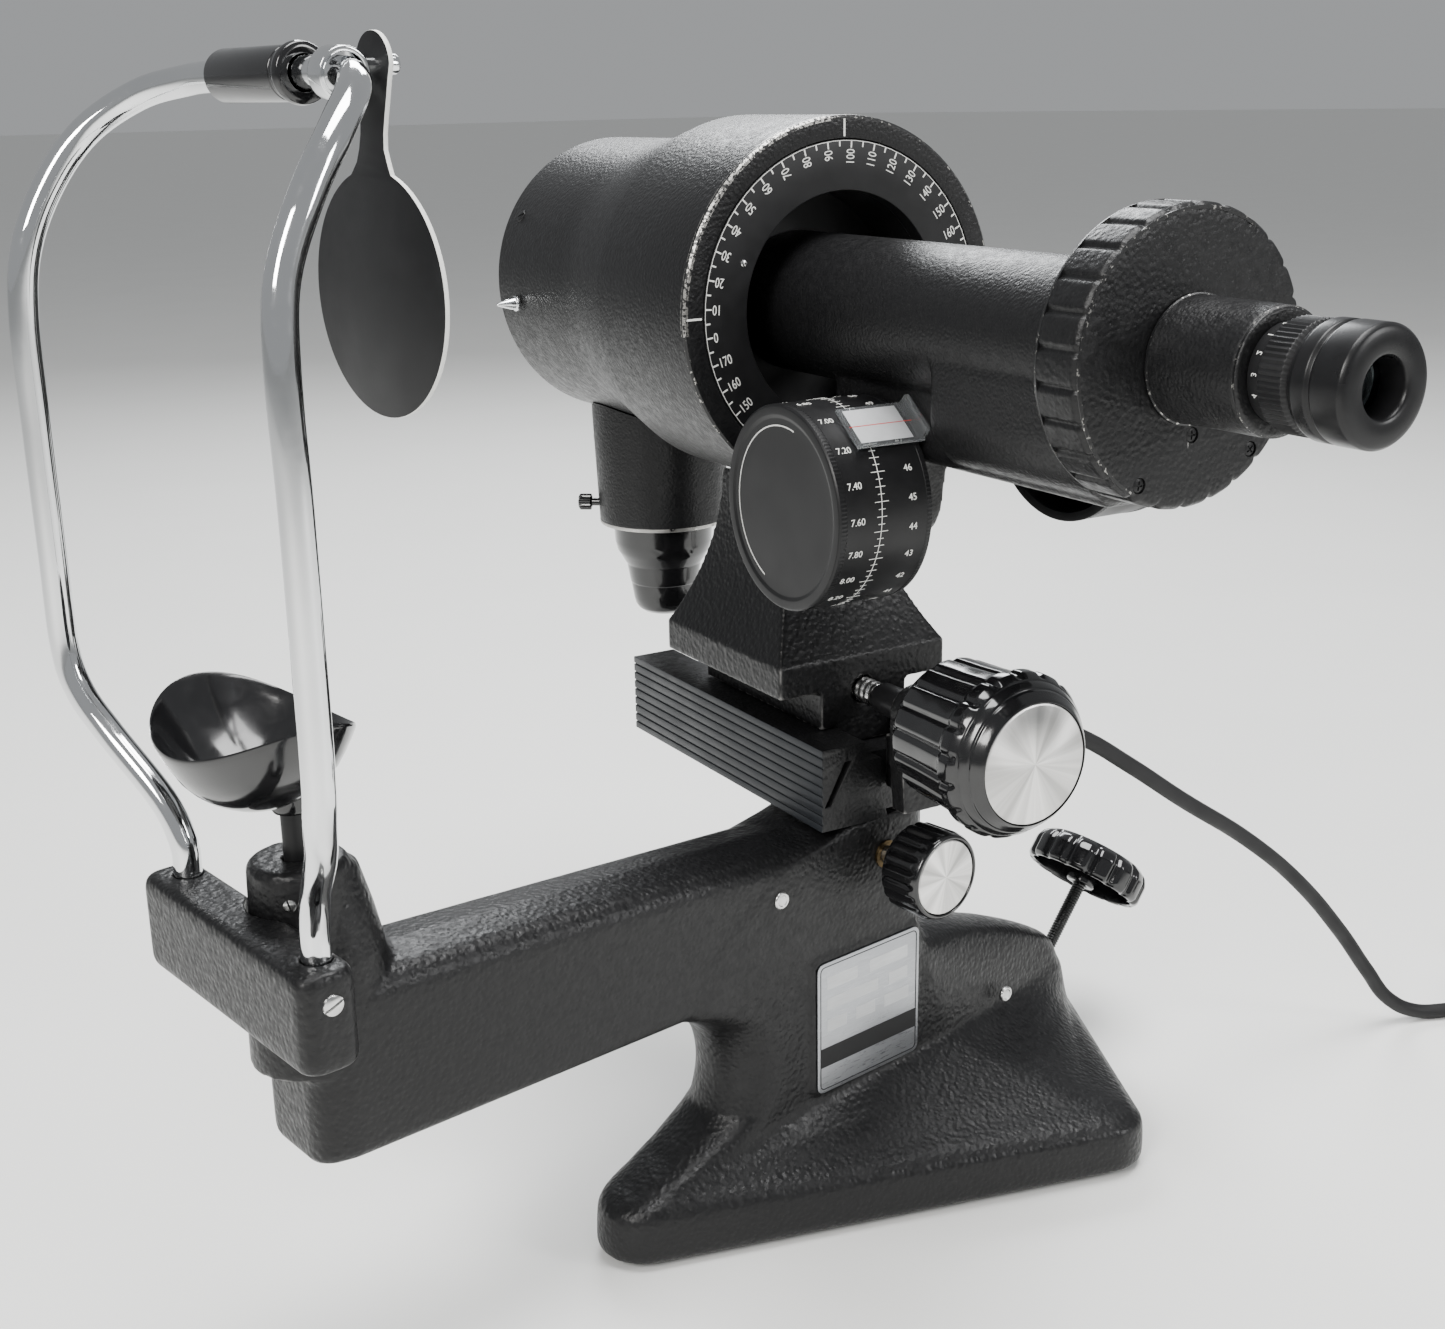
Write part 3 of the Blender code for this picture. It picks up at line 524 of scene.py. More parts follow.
def brushed(name, colour, roughness):
    look = Look(name, colour, roughness, 1.0)
    stretch = look.nodes.new("ShaderNodeMapping")
    stretch.inputs["Scale"].default_value = (1, 1, 30)
    look.links.new(look.place, stretch.inputs["Vector"])
    look.place = stretch.outputs["Vector"]
    look.tint(look.noise(120, 5), shade(colour, 0.82), colour)
    look.roughen(look.noise(160, 4), 0.3, 0.7, roughness * 0.7, roughness * 1.4)
    look.bump(look.noise(300, 3), 0.00001, 0.3)
    return look.material


def rubbery(name, colour, roughness):
    look = Look(name, colour, roughness, Specular_IOR_Level=0.27)
    look.tint(look.noise(140, 4), shade(colour, 0.8), shade(colour, 1.5))
    look.roughen(look.noise(70, 5), 0.3, 0.7, roughness * 0.85, min(1, roughness * 1.15))
    look.bump(look.noise(1400, 2), 0.00004, 0.4)
    return look.material


def clear(name, colour, roughness, bump=0.0):
    look = Look(name, colour, roughness, Transmission_Weight=0.95, IOR=1.47)
    look.roughen(look.noise(80, 4), 0.35, 0.75, roughness, roughness + 0.08)
    look.bump(look.noise(600, 2), 0.00001 + bump, 0.3)
    return look.material


def marking(name, colour):
    """Filled white engraving, slightly dirty."""
    look = Look(name, colour, 0.5)
    look.tint(look.noise(220, 4), shade(colour, 0.82), colour)
    look.roughen(look.noise(300, 3), 0.3, 0.7, 0.42, 0.6)
    return look.material


PAINT = (0.0062, 0.0062, 0.0066)
CAST = wrinkle_paint("black_wrinkle", PAINT, (0.53, 0.585), 450, 0.0005)
HOUSING_PAINT = wrinkle_paint("black_wrinkle_medium", PAINT, None, 640, 0.0003)
RIM = wrinkle_paint("black_wrinkle_worn", PAINT, (0.545, 0.6), 560, 0.0003)
TUBE_PAINT = wrinkle_paint("black_wrinkle_fine", PAINT, None, 760, 0.00026)
WORN = chipped("worn_edge", 0.45, 700)
SPECKED = chipped("specked_edge", -0.2, 520)
SATIN = rubbery("satin_black", (0.0075, 0.0075, 0.008), 0.4)
PANEL = rubbery("charcoal_panel", (0.016, 0.018, 0.021), 0.42)
GLOSS = plastic("gloss_black", (0.0055, 0.0055, 0.006), 0.12)
CHROME = polished("chrome", (0.82, 0.83, 0.84), 0.055)
STEEL = brushed("steel", (0.52, 0.52, 0.51), 0.3)
DARK_STEEL = brushed("blackened_steel", (0.06, 0.06, 0.06), 0.28)
BRIGHT = polished("bright_steel", (0.66, 0.66, 0.65), 0.2, 200)
SPUN = spun("spun_aluminium", (0.86, 0.85, 0.83))
PLATE = brushed("plate_aluminium", (0.44, 0.45, 0.47), 0.34)
BRASS = brushed("aged_brass", (0.15, 0.105, 0.05), 0.34)
RUBBER = rubbery("rubber", (0.01, 0.01, 0.0105), 0.6)
GREY = rubbery("grey_paint", (0.08, 0.08, 0.085), 0.45)
WHITE_FIELD = brushed("plate_field", (0.6, 0.61, 0.62), 0.42)
RIM_METAL = polished("worn_rim_metal", (0.5, 0.49, 0.47), 0.3, 300)
EYECUP = rubbery("eyecup_plastic", (0.007, 0.007, 0.0075), 0.3)
CLEAR = clear("clear_plastic", (0.93, 0.96, 0.98), 0.04)
FROST = marking("frosted_plastic", (0.5, 0.51, 0.52))
MIRE = clear("frosted_mire", (0.8, 0.82, 0.82), 0.35, 0.00002)
GLASS = clear("coated_glass", (0.72, 0.82, 0.86), 0.02)
WHITE = marking("white_marking", (0.8, 0.8, 0.77))
RED = marking("red_line", (0.6, 0.03, 0.02))
SLOT_LOOKS = {"black_casting": CAST, "grey_paint": GREY, "satin_black": SATIN, "gloss_black": GLOSS,
              "chrome": CHROME, "steel": STEEL, "spun_aluminium": SPUN, "brass": BRASS, "rubber": RUBBER,
              "clear_plastic": CLEAR, "lens_glass": GLASS}


def dress_cad_nodes():
    """Every CAD node that stays gets its slot's finish."""
    for node, slot in NODE_SLOTS.items():
        mesh = frame["nodes"][node].data
        mesh.materials.clear()
        mesh.materials.append(SLOT_LOOKS[slot])


# ---------------- camera

LENS = 46.26
SENSOR = 36
CAMERA_AT = (-0.5877, -0.6017, 0.5145)         # from the foot of the column, in metres
CAMERA_TURN = (49.77, -16.99, -1.03)           # yaw, pitch and roll, in degrees


def camera():
    data = bpy.data.cameras.new("camera")
    data.lens = LENS
    data.sensor_width = SENSOR
    obj = new_object("camera", data)
    yaw, pitch, roll = (math.radians(a) for a in CAMERA_TURN)
    ahead = Vector((math.cos(yaw) * math.cos(pitch), math.sin(yaw) * math.cos(pitch), math.sin(pitch)))
    right = Vector((math.sin(yaw), -math.cos(yaw), 0))
    up = right.cross(ahead)
    side = math.cos(roll) * right + math.sin(roll) * up
    top = -math.sin(roll) * right + math.cos(roll) * up
    turn = Matrix((side, top, -ahead)).transposed().to_4x4()
    place = (COLUMN.x + CAMERA_AT[0], COLUMN.y + CAMERA_AT[1], CAMERA_AT[2])
    obj.matrix_world = Matrix.Translation(place) @ turn
    bpy.context.scene.camera = obj


def area_light(name, at, aim, size, power, colour=(1, 1, 1)):
    data = bpy.data.lights.new(name, "AREA")
    data.shape = "RECTANGLE"
    data.size, data.size_y = size
    data.energy = power
    data.color = colour
    obj = new_object(name, data)
    obj.location = at
    obj.rotation_mode = "QUATERNION"
    obj.rotation_quaternion = (Vector(aim) - Vector(at)).to_track_quat("-Z", "Y")


def studio():
    world = bpy.data.worlds.new("studio")
    world.use_nodes = True
    world.node_tree.nodes["Background"].inputs["Color"].default_value = (0.86, 0.88, 0.9, 1)
    world.node_tree.nodes["Background"].inputs["Strength"].default_value = 0.42
    bpy.context.scene.world = world
    middle = (0, 0, 0.3)
    area_light("overhead", (0.1, -0.2, 2.3), middle, (1.5, 1.1), 84)
    area_light("key", (-1.9, -0.7, 1.6), middle, (0.7, 0.9), 48, (1, 0.985, 0.96))
    area_light("side", (1.0, -2.0, 1.2), middle, (0.5, 0.9), 24)
    area_light("back", (1.3, 1.7, 1.7), middle, (1.2, 0.7), 44, (0.96, 0.98, 1))
    reach = 40.0
    corners = [(-reach, -reach, 0), (reach, -reach, 0), (reach, reach, 0), (-reach, reach, 0)]
    floor = bpy.data.meshes.new("floor")
    floor.from_pydata(corners, [], [[0, 1, 2, 3]])
    obj = new_object("floor", floor)
    look = Look("pale_floor", (0.82, 0.82, 0.8), 0.6)
    look.tint(look.noise(6, 3), (0.81, 0.81, 0.79), (0.85, 0.85, 0.83))
    floor.materials.append(look.material)


# ---------------- cord

CORD_ROUTE = ((55.9, -64.4, 228), (69.3, -67.5, 226), (84, -72, 219), (114, -78.5, 199), (149, -84.5, 174),
              (200, -93.5, 139), (237, -100, 108), (275, -106, 68), (299, -110.5, 38), (317, -115.5, 16),
              (333, -123, 6), (350, -133.5, 4.4), (373, -143.5, 4.2))
COIL_MIDDLE = (396.0, -199.0)
CORD_R = 4.0
TURN_STEPS = 16                # points in one turn of the coil
COIL_TURNS = 4.9
LAYER = 8.0                    # height of the upper turns over the lower ones
TAIL = ((380, -140, 12.3), (394, -131.5, 10.5), (406, -127, 7.5), (416, -124.8, 5), (425.7, -124, 4.0))


def step_up(turn, start, end):
    t = min(1, max(0, (turn - start) / (end - start)))
    return t * t * (3 - 2 * t)


def coil_points():
    """About two and a half turns on the table, winding inwards, then two more on top, winding outwards."""
    points = []
    for k in range(int(COIL_TURNS * TURN_STEPS) + 1):
        turn = k / TURN_STEPS
        radius = 52 - 8 * step_up(turn, 0.8, 1.0) - 8 * step_up(turn, 1.8, 2.0)
        radius += 4 * step_up(turn, 2.66, 2.8)
        radius += 8 * step_up(turn, 3.6, 3.8) + 8 * step_up(turn, 4.6, 4.8)
        height = 4.2 + LAYER * step_up(turn, 2.55, 2.72)
        angle = math.radians(90) - math.tau * turn
        x = COIL_MIDDLE[0] + radius * math.cos(angle)
        y = COIL_MIDDLE[1] + radius * math.sin(angle)
        points.append((x, y, height))
    return points


def cord():
    curve = bpy.data.curves.new("mains_cord", "CURVE")
    curve.dimensions = "3D"
    curve.bevel_depth = CORD_R * MM
    curve.bevel_resolution = 6
    curve.use_fill_caps = True
    curve.resolution_u = 8
    route = [*CORD_ROUTE, *coil_points(), *TAIL]
    spline = curve.splines.new("BEZIER")
    spline.bezier_points.add(len(route) - 1)
    for knot, place in zip(spline.bezier_points, route):
        knot.co = BASE @ (Vector(place) * MM)
        knot.handle_left_type = "AUTO"
        knot.handle_right_type = "AUTO"
    lead = new_object("mains_cord", curve)
    finish_piece(lead, RUBBER, "swivel", ("cord_tube", "cord_coil"))
    plug = edged("cord_plug", "mains_plug", RUBBER, "swivel", 0.5)
    ribs = [(0, 22), (4.6, 22)]
    for k in range(4):
        low = 19.6 - 3.6 * k
        swell = 0.24 * k
        ribs += [(4.9 + swell, low + 1.6), (4.9 + swell, low), (4.3 + swell, low - 0.2),
                 (4.3 + swell, low - 1.7)]
    ribs += [(6.2, 7.2), (7.6, 7.0), (7.6, 0.4), (0, 0.4)]
    gland = spin("cord_strain_relief", ribs, RUBBER, "swivel", set_at(HEAD, (54, 44, 228), Y), "cord_gland",
                 sides=64, sharp=30)


# ---------------- stand

def foot_ring(z, front, side, rear, arc_steps=16, edge_steps=14):
    """The outline round four circles. Its points keep their order, so that lofted faces stay smooth."""
    circles = ((front[0], 0, front[1]), (side[0], -side[1], side[2]), (rear[0], 0, rear[1]),
               (side[0], side[1], side[2]))
    tangents = []
    for (x0, y0, r0), (x1, y1, r1) in zip(circles, circles[1:] + circles[:1]):
        share = (r0 - r1) / math.hypot(x1 - x0, y1 - y0)
        tangents.append(math.atan2(y1 - y0, x1 - x0) - math.acos(max(-1, min(1, share))))
    ring = []
    for k, (x, y, radius) in enumerate(circles):
        start = tangents[k - 1]
        sweep = (tangents[k] - start) % math.tau
        for step in range(arc_steps + 1):
            angle = start + sweep * step / arc_steps
            ring.append((x + radius * math.cos(angle), y + radius * math.sin(angle), z))
        after_x, after_y, after_radius = circles[(k + 1) % 4]
        angle = tangents[k]
        end = (after_x + after_radius * math.cos(angle), after_y + after_radius * math.sin(angle))
        last = ring[-1]
        for step in range(1, edge_steps):
            t = step / edge_steps
            ring.append((last[0] + (end[0] - last[0]) * t, last[1] + (end[1] - last[1]) * t, z))
    return ring


FOOT_LEVELS = (
    (4.0, (-133, 21.0), (84, 93, 21.0), (150, 19.0)),
    (7.0, (-133, 22.0), (84, 93, 22.0), (150, 20.0)),
    (25.0, (-133, 21.0), (84, 93, 21.0), (149, 19.0)),
    (29.0, (-131, 20.0), (82, 88, 20.0), (147, 18.0)),
    (34.0, (-120, 20.0), (74, 68, 20.0), (145, 17.0)),
    (42.0, (-100, 22.0), (63, 42, 20.0), (144, 16.0)),
    (55.0, (-75, 25.0), (45, 13, 17.0), (142, 15.0)),
    (60.0, (-70, 25.5), (42, 9, SIDE - 9), (140, 14.0)),
    (72.0, (-67, 25.5), (38, 9, SIDE - 9), (134, 13.0)),
    (84.0, (-67, 25.5), (34, 9, SIDE - 9), (113, 14.0)),
    (96.0, (-70, 25.5), (30, 9, SIDE - 9), (85, 15.0)),
    (106.0, (-77, 25.5), (24, 9, SIDE - 9), (52, 18.0)),
    (115.0, (-92, 25.5), (16, 6, SIDE - 6), (22, 18.0)),
    (124.0, (-112, 25.5), (11, 3, SIDE - 3), (12, 26.0)),
    (150.0, (-103, 25.5), (11, 3, SIDE - 3), (12, 26.0)),
    (180.0, (-60, 25.5), (11, 3, SIDE - 3), (12, 26.0)),
    (189.0, (-16, 25.5), (11, 3, SIDE - 3), (12, 26.0)))


def smooth_levels(levels, most=3.0):
    """Levels read every few millimetres from a smooth curve through the given ones."""
    flat = [[z, *front, *side, *rear] for z, front, side, rear in levels]
    flat = [flat[0]] + flat + [flat[-1]]
    made = []
    for before, start, end, after in zip(flat, flat[1:], flat[2:], flat[3:]):
        steps = max(1, round((end[0] - start[0]) / most))
        for k in range(steps):
            t = k / steps
            row = []
            for p, a, b, q in zip(before, start, end, after):
                limit = 0.5 * (b - p) * t * (1 - t) ** 2 - 0.5 * (q - a) * t * t * (1 - t)
                row.append(a + (b - a) * (t * t * (3 - 2 * t)) + limit)
            row[0] = start[0] + (end[0] - start[0]) * t
            made.append(row)
    made.append(flat[-1])
    return [(r[0], (r[1], r[2]), (r[3], r[4], r[5]), (r[6], r[7])) for r in made]


def arm_section(x, half, top, bottom, crown):
    outline = arc((-half + 5, bottom + 5), 5, 270, 180, 6)
    outline += arc((-half + 11, top - 11), 11, 180, 108, 8)
    outline += [(0, top + crown)]
    outline += arc((half - 11, top - 11), 11, 72, 0, 8)
    outline += arc((half - 5, bottom + 5), 5, 0, -90, 6)
    return [(x, y, z) for y, z in outline]


def stand():
    sections = ((-20, 24.0, 186.0), (-60, 25.0, 186.0), (-262, 25.0, 196.0), (-288, 25.0, 196.0),
                (-297, 23.0, 196.0), (-301, 20.0, 195.0), (-303, 15.0, 193.0))
    arm = loft([arm_section(x, half, top, 121.5, 1.5) for x, half, top in sections])
    boss = [(0, 243), (17.5, 243), (19.3, 241), (19.8, 222), (21.5, 205), (24.0, 190), (24.5, 160), (0, 160)]
    apron = [(0, 238), (15, 238), (20, 220), (23.5, 204), (24.6, 190), (24.6, 160), (0, 160)]
    cheek = prism(rounded((-50, 58), (22, 128), 4), -SIDE - 0.4, -20, "y")
    foot = scratch(loft([foot_ring(*level) for level in smooth_levels(FOOT_LEVELS)]), BASE)
    joined = [scratch(arm, BASE), scratch(turned(boss), POST),
              scratch(turned(apron), set_at(BASE, (POST_X + 8, 0, 0))), scratch(cheek, BASE)]
    holes = [rod(5.3, 260, 140, POST)]
    casting = solid(foot, joined, holes)
    cast(casting, "stand_casting", CAST, "base", "base_casting", 1.5, 6)

    pad = rounded_profile([(0, 3.7), (14, 3.7), (15, 3), (15, 0.8), (14, 0), (11, 0), (10.4, 0.8),
                           (0, 0.8)], 0.5)
    for node, x, y in (("foot_pad_front", -133, 0), ("foot_pad_left", 84, 93), ("foot_pad_right", 84, -93)):
        spin(node + "_rubber", pad, RUBBER, "base", set_at(BASE, (x, y, 0)), node, sides=64)
    head = rounded_profile([(0, 26.6), (2.4, 26.7), (2.7, 26.95), (3.6, 26.95), (4.2, 26.4), (4.2, 25),
                            (0, 25)], 0.25)
    for node, x, z in (("arm_plug", -68, 165), ("hump_plug", 89, 64)):
        spin(node + "_steel", head, BRIGHT, "base", set_at(BASE, (x, 0, z), (0, -1, 0)), node, sides=48)


def rating_plate():
    low, high = (-48, 58.5), (20, 126)
    face = -SIDE - 1.5
    back = -SIDE - 0.7
    plate = piece("plate_blank", prism(rounded(low, high, 4), face + 0.12, back, "y"), PLATE, "base", BASE,
                  "rating_plate")
    bevelled(plate, 0.1, 2)
    outer = rounded((low[0] + 1.6, low[1] + 1.6), (high[0] - 1.6, high[1] - 1.6), 2.8)
    inner = rounded((low[0] + 2.1, low[1] + 2.1), (high[0] - 2.1, high[1] - 2.1), 2.4)
    count = len(outer)
    near, far = face + 0.02, face + 0.14
    points = [(u, near, v) for u, v in outer + inner] + [(u, far, v) for u, v in outer + inner]
    faces = []
    for k in range(count):
        n = (k + 1) % count
        o0, o1, i0, i1 = k, n, count + k, count + n
        faces += [[o0, o1, i1, i0], [o0 + 2 * count, i0 + 2 * count, i1 + 2 * count, o1 + 2 * count],
                  [o0, o0 + 2 * count, o1 + 2 * count, o1], [i0, i1, i1 + 2 * count, i0 + 2 * count]]
    piece("plate_border", (points, faces), SATIN, "base", BASE)
    piece("plate_band", prism(rounded((low[0] + 2.1, 72), (high[0] - 2.1, 82), 0.4), near, far, "y"), SATIN,
          "base", BASE)
    rows = ((-42, 112, 20), (-14, 112, 26), (-42, 101, 34), (-1, 101, 13), (-42, 90, 13), (-23, 90, 13),
            (-4, 90, 17))
    for k, (x, z, width) in enumerate(rows):
        field = rounded((x, z), (x + width, z + 6.4), 0.6)
        piece(f"plate_field_{k}", prism(field, near + 0.04, far, "y"), WHITE_FIELD, "base", BASE)


# ---------------- patient's rests

def smooth_path(route, spacing):
    knots = [Vector(point) for point in route]
    knots = [2 * knots[0] - knots[1]] + knots + [2 * knots[-1] - knots[-2]]
    path = []
    for before, start, end, after in zip(knots, knots[1:], knots[2:], knots[3:]):
        steps = max(1, round((end - start).length / spacing))
        for k in range(steps):
            t = k / steps
            path.append(0.5 * (2 * start + (end - before) * t
                               + (2 * before - 5 * start + 4 * end - after) * t ** 2
                               + (3 * start - before - 3 * end + after) * t ** 3))
    return path + [knots[-2]]


def chrome_tube(name, side, node):
    half = [(*TUBE_FOOT, 208), (*TUBE_FOOT, 227), (-312.7, 52.3, 239), (-315.5, 61, 255),
            (-324, 84, 278), (-329.5, 96, 294), (-331.5, 101.5, 312), (-331.5, 102, 350), (-331.5, 102, 400),
            (-331.5, 101, 440), (-328, 99, 466), (-317, 97, 489), (-303, 92, 507), (-288, 78, 519),
            (-278.5, 58, 523.5), (CROWN[0], 36, CROWN[1]), (CROWN[0], 0.4, CROWN[1])]
    path = smooth_path([(x, side * y, z) for x, y, z in half], 4)
    curve = bpy.data.curves.new(name, "CURVE")
    curve.dimensions = "3D"
    curve.bevel_depth = TUBE_R * MM
    curve.bevel_resolution = 10
    curve.use_fill_caps = True
    spline = curve.splines.new("POLY")
    spline.points.add(len(path) - 1)
    for point, place in zip(spline.points, path):
        point.co = (*(place * MM), 1)
    tube = new_object(name, mesh_of_curve(curve))
    tube.matrix_world = BASE
    finish_piece(tube, CHROME, "base", node)


def screw_head(name, body, place, radius, height, look, slot_turn=0.4, cross=False):
    """A domed head with a cut slot, or a cross."""
    profile = [(0, height), (radius * 0.6, height * 0.93), (radius * 0.92, height * 0.6),
               (radius, height * 0.2), (radius, -0.6), (0, -0.6)]
    dome = scratch(turned(profile, 48), place)
    reach = radius * (0.62 if cross else 1.2)
    cuts = []
    for extra in (0, math.pi / 2) if cross else (0,):
        turn = Matrix.Rotation(slot_turn + extra, 4, "Z")
        slot = box((-reach, -radius * 0.13, height * 0.3), (reach, radius * 0.13, height * 2))
        cuts.append(scratch(slot, place @ turn))
    head = solid(dome, (), cuts)
    head.name = name
    return finish_piece(head, look, body, None, "steel")


def headrest():
    low, high = (-327.0, -66.0, 187.0), (-303.6, 66.0, 226.0)
    outline = rounded((low[0], low[1]), (high[0], high[1]), 7, 8)
    middle = ((low[0] + high[0]) / 2, 0)
    rings = []
    for inset, z in ((3.5, 187), (1.6, 187.6), (0.5, 189.2), (0, 192), (0, 221), (0.5, 223.8), (1.6, 225.4),
                     (3.5, 226)):
        rings.append([(x - inset * math.copysign(1, x - middle[0]), y - inset * math.copysign(1, y), z)
                      for x, y in outline])
    bar = scratch(loft(rings), BASE)
    pocket = [(0, 240), (20.9, 240), (20.9, 216), (22.4, 205), (25, 190), (25.4, 180), (0, 180)]
    cuts = [scratch(turned(pocket), POST)]
    for side in (-1, 1):
        cuts.append(rod(6.0, 240, 206, set_at(BASE, (TUBE_FOOT[0], side * TUBE_FOOT[1], 0))))
    cast(solid(bar, (), cuts), "headrest_bar_casting", CAST, "base", "headrest_bar", 1.0, 5)
    screw_head("bar_end_screw", "base", set_at(BASE, (-315, -65.6, 214), (0, -1, 0)), 4.2, 1.6, BRIGHT)
    screw_head("post_lock_screw", "base", set_at(BASE, (POST_X - 12, -14.8, 231), (-0.63, -0.77, 0)), 2.6,
               1.0, BRIGHT, 1.2)
    chrome_tube("chrome_tube_right", -1, "headrest_tube_right")
    chrome_tube("chrome_tube_left", 1, "headrest_tube_left")
    sleeve = [(6.0, -28), (8.6, -28), (9.2, -27), (9.2, 19.6), (8.9, 19.9), (8.9, 20.4), (9.2, 20.7),
              (9.2, 22), (8.6, 22.8), (10, 23.4), (10.4, 25), (10, 27.4), (8.6, 28), (6.0, 28)]
    spin("crown_sleeve_moulding", sleeve, GLOSS, "base", set_at(BASE, (CROWN[0], 0, CROWN[1]), (0, -1, 0)),
         "crown_sleeve", soft=0.5, sides=64, loop=True, sharp=50)
    collar = [(7.0, -5), (8.8, -5), (8.8, 5), (7.0, 5)]
    spin("pivot_collar", collar, CHROME, "base", set_at(BASE, (PIVOT_X, PIVOT[0], PIVOT[1] - 2.8),
                                                        (-0.1, -0.985, -0.06)), "occluder_pivot", soft=0.6,
         sides=64, loop=True, sharp=50)
    pin = [(0, 21.5), (2.0, 21.5), (2.6, 21.2), (3.2, 20.6), (3.2, 14.5), (2.4, 14.2), (2.4, 7.8), (0, 7.8)]
    spin("pivot_pin", pin, CHROME, "base", set_at(BASE, (PIVOT_X, PIVOT[0], PIVOT[1]), X), None, "chrome",
         soft=0.3, sides=48, sharp=50)


def occluder():
    outline = arc(PIVOT, 10.5, 0, 180, 28)
    outline += [(-61.6, 521), (-60.2, 516), (-58.3, 510), (-57, 505), (-56.6, 500), (-58, 496)]
    outline += arc((-47.0, 453.0), 41.0, 108, 432, 96)
    outline += [(-38.5, 496), (-40.6, 500), (-42.2, 505), (-42.9, 510), (-43.0, 516), (-42.7, 521)]
    points, faces = loft([[(w, u - PIVOT[0], v - PIVOT[1]) for u, v in outline] for w in (-0.9, 0.9)])
    plate = piece("occluder_paddle", (points, faces), SATIN, "occluder", set_at(BASE, (OCCLUDER_X, *PIVOT)),
                  "occluder")
    plate.data.materials.append(WHITE)
    for face in plate.data.polygons:
        if abs(face.normal.x) < 0.5:
            face.material_index = 1
    bevelled(plate, 0.25, 2)


def chin_rest():
    inner = [(0.02, 272.7), (0.06, 273.0), (0.18, 273.6), (0.3, 275.0), (0.42, 277.5), (0.55, 281.0),
             (0.67, 285.2), (0.78, 290.0), (0.86, 294.0), (0.92, 297.5), (0.96, 299.9), (0.985, 301.1)]
    outer = [(0.995, 301.4), (1.0, 300.8), (0.998, 300.0), (0.975, 297.8), (0.95, 295.5), (0.88, 290.0),
             (0.8, 284.5), (0.69, 279.2), (0.57, 275.0), (0.44, 271.6), (0.32, 269.2), (0.2, 267.6),
             (0.1, 267.0)]
    rings = []
    for scale, rise in inner + outer:
        ring = []
        for k in range(96):
            angle = math.tau * k / 96
            dip = -6.5 * math.cos(2 * angle) * scale ** 2
            ring.append((-304.0 + 34.0 * scale * math.cos(angle), 46.0 * scale * math.sin(angle),
                         rise + dip))
        rings.append(ring)
    cup = scratch(loft(rings), BASE)
    hub = [(0, 275), (8.5, 275), (8.5, 264), (7.5, 262), (5.3, 262), (5.3, 266.8), (0, 266.8)]
    made = solid(cup, [scratch(turned(hub, 64), POST)])
    made.name = "chin_cup_moulding"
    finish_piece(made, GLOSS, "chin_rest", "chin_cup", sharp=45)
    post = [(0, 266.6), (4.4, 266.6), (5.0, 266), (5.0, 152), (4, 151), (0, 151)]
    spin("chin_post_rod", post, SATIN, "chin_rest", POST, "chin_post", sides=48)


# ---------------- knobs

def lock():
    place = set_at(BASE, (157, 0, 64), (0.643, 0, 0.766))
    knob = [(0, 57), (25, 56.2), (27, 55.9), (31, 53.2), (33, 49), (33, 39), (31.5, 37), (29, 37),
            (28.5, 50), (9, 51), (8, 35), (4.0, 35), (4.0, 46.8), (0, 46.8)]
    skin = filled(rounded_profile(knob, 1.2), 4)
    piece("lock_knob_moulding", turned(skin, 240, shape=grooves(15, 2.0, 29.5, 5)), GLOSS, "lock", place,
          "lock_knob", sharp=50)
    piece("lock_screw_thread", threaded(3.7, 0.55, 1.5, -25, 46), DARK_STEEL, "lock", place, "lock_screw",
          sharp=70)


def elevation():
    place = set_at(BASE, (PINION[0], 0, PINION[1]), (0, -1, 0))
    knob = [(0, 65), (18.3, 65), (18.4, 66.4), (20, 66), (21.3, 62), (21, 45), (19, 43), (8, 41), (7.4, 34),
            (4.2, 34), (4.2, 56), (0, 56)]
    skin = filled(rounded_profile(knob, 0.9), 3)
    piece("elevation_knob_moulding", turned(skin, 240, shape=grooves(20, 1.6, 19.2, 3, 42, 63)), GLOSS,
          "elevation", place, "elevation_knob", sharp=50)
    disc = [(0, 66), (17.4, 66), (17.9, 65.6), (17.9, 65.3), (0, 65.3)]
    spin("elevation_disc", disc, SPUN, "elevation", place, "elevation_insert")


def focus():
    place = set_at(HEAD, (0, 0, SCREW_Z), X)
    knob = [(0, 134.4), (26.4, 134.4), (26.6, 135.8), (28.2, 134.2), (29, 133), (30.6, 131.2),
            (30.9, 130.2), (31.6, 129.8), (33.2, 127.4), (33.6, 126.2), (34.2, 125.8), (35.5, 124),
            (36.5, 122), (36.5, 117), (35.9, 116), (33.8, 113), (32.6, 96), (32, 79), (29, 75), (9, 73),
            (8, 64), (4.2, 64), (4.2, 104), (0, 104)]
    skin = filled(rounded_profile(knob, 0.7), 3)
    piece("focus_knob_moulding", turned(skin, 288, shape=grooves(18, 1.5, 30.2, 7, 76, 125)), GLOSS,
          "focus", place, "focus_knob", sharp=50)
    disc = [(0, 135.6), (25.4, 135.6), (26.1, 135.2), (26.1, 134.7), (0, 134.7)]
    spin("focus_disc", disc, SPUN, "focus", place, "focus_insert")
    sleeve = [(0, 103.6), (3.9, 103.6), (3.9, 62), (4.95, 61.5), (4.95, 49.6), (7.6, 49.4), (7.2, 28),
              (6.2, 25.2), (0, 25.2)]
    spin("focus_sleeve", sleeve, SATIN, "focus", place, None, "satin_black", soft=0.4, sides=64)
    piece("focus_thread", threaded(6.15, 0.8, 4.0, -59, 25), BRIGHT, "focus", place, "focus_screw", sharp=70)


# ---------------- slide and carriage

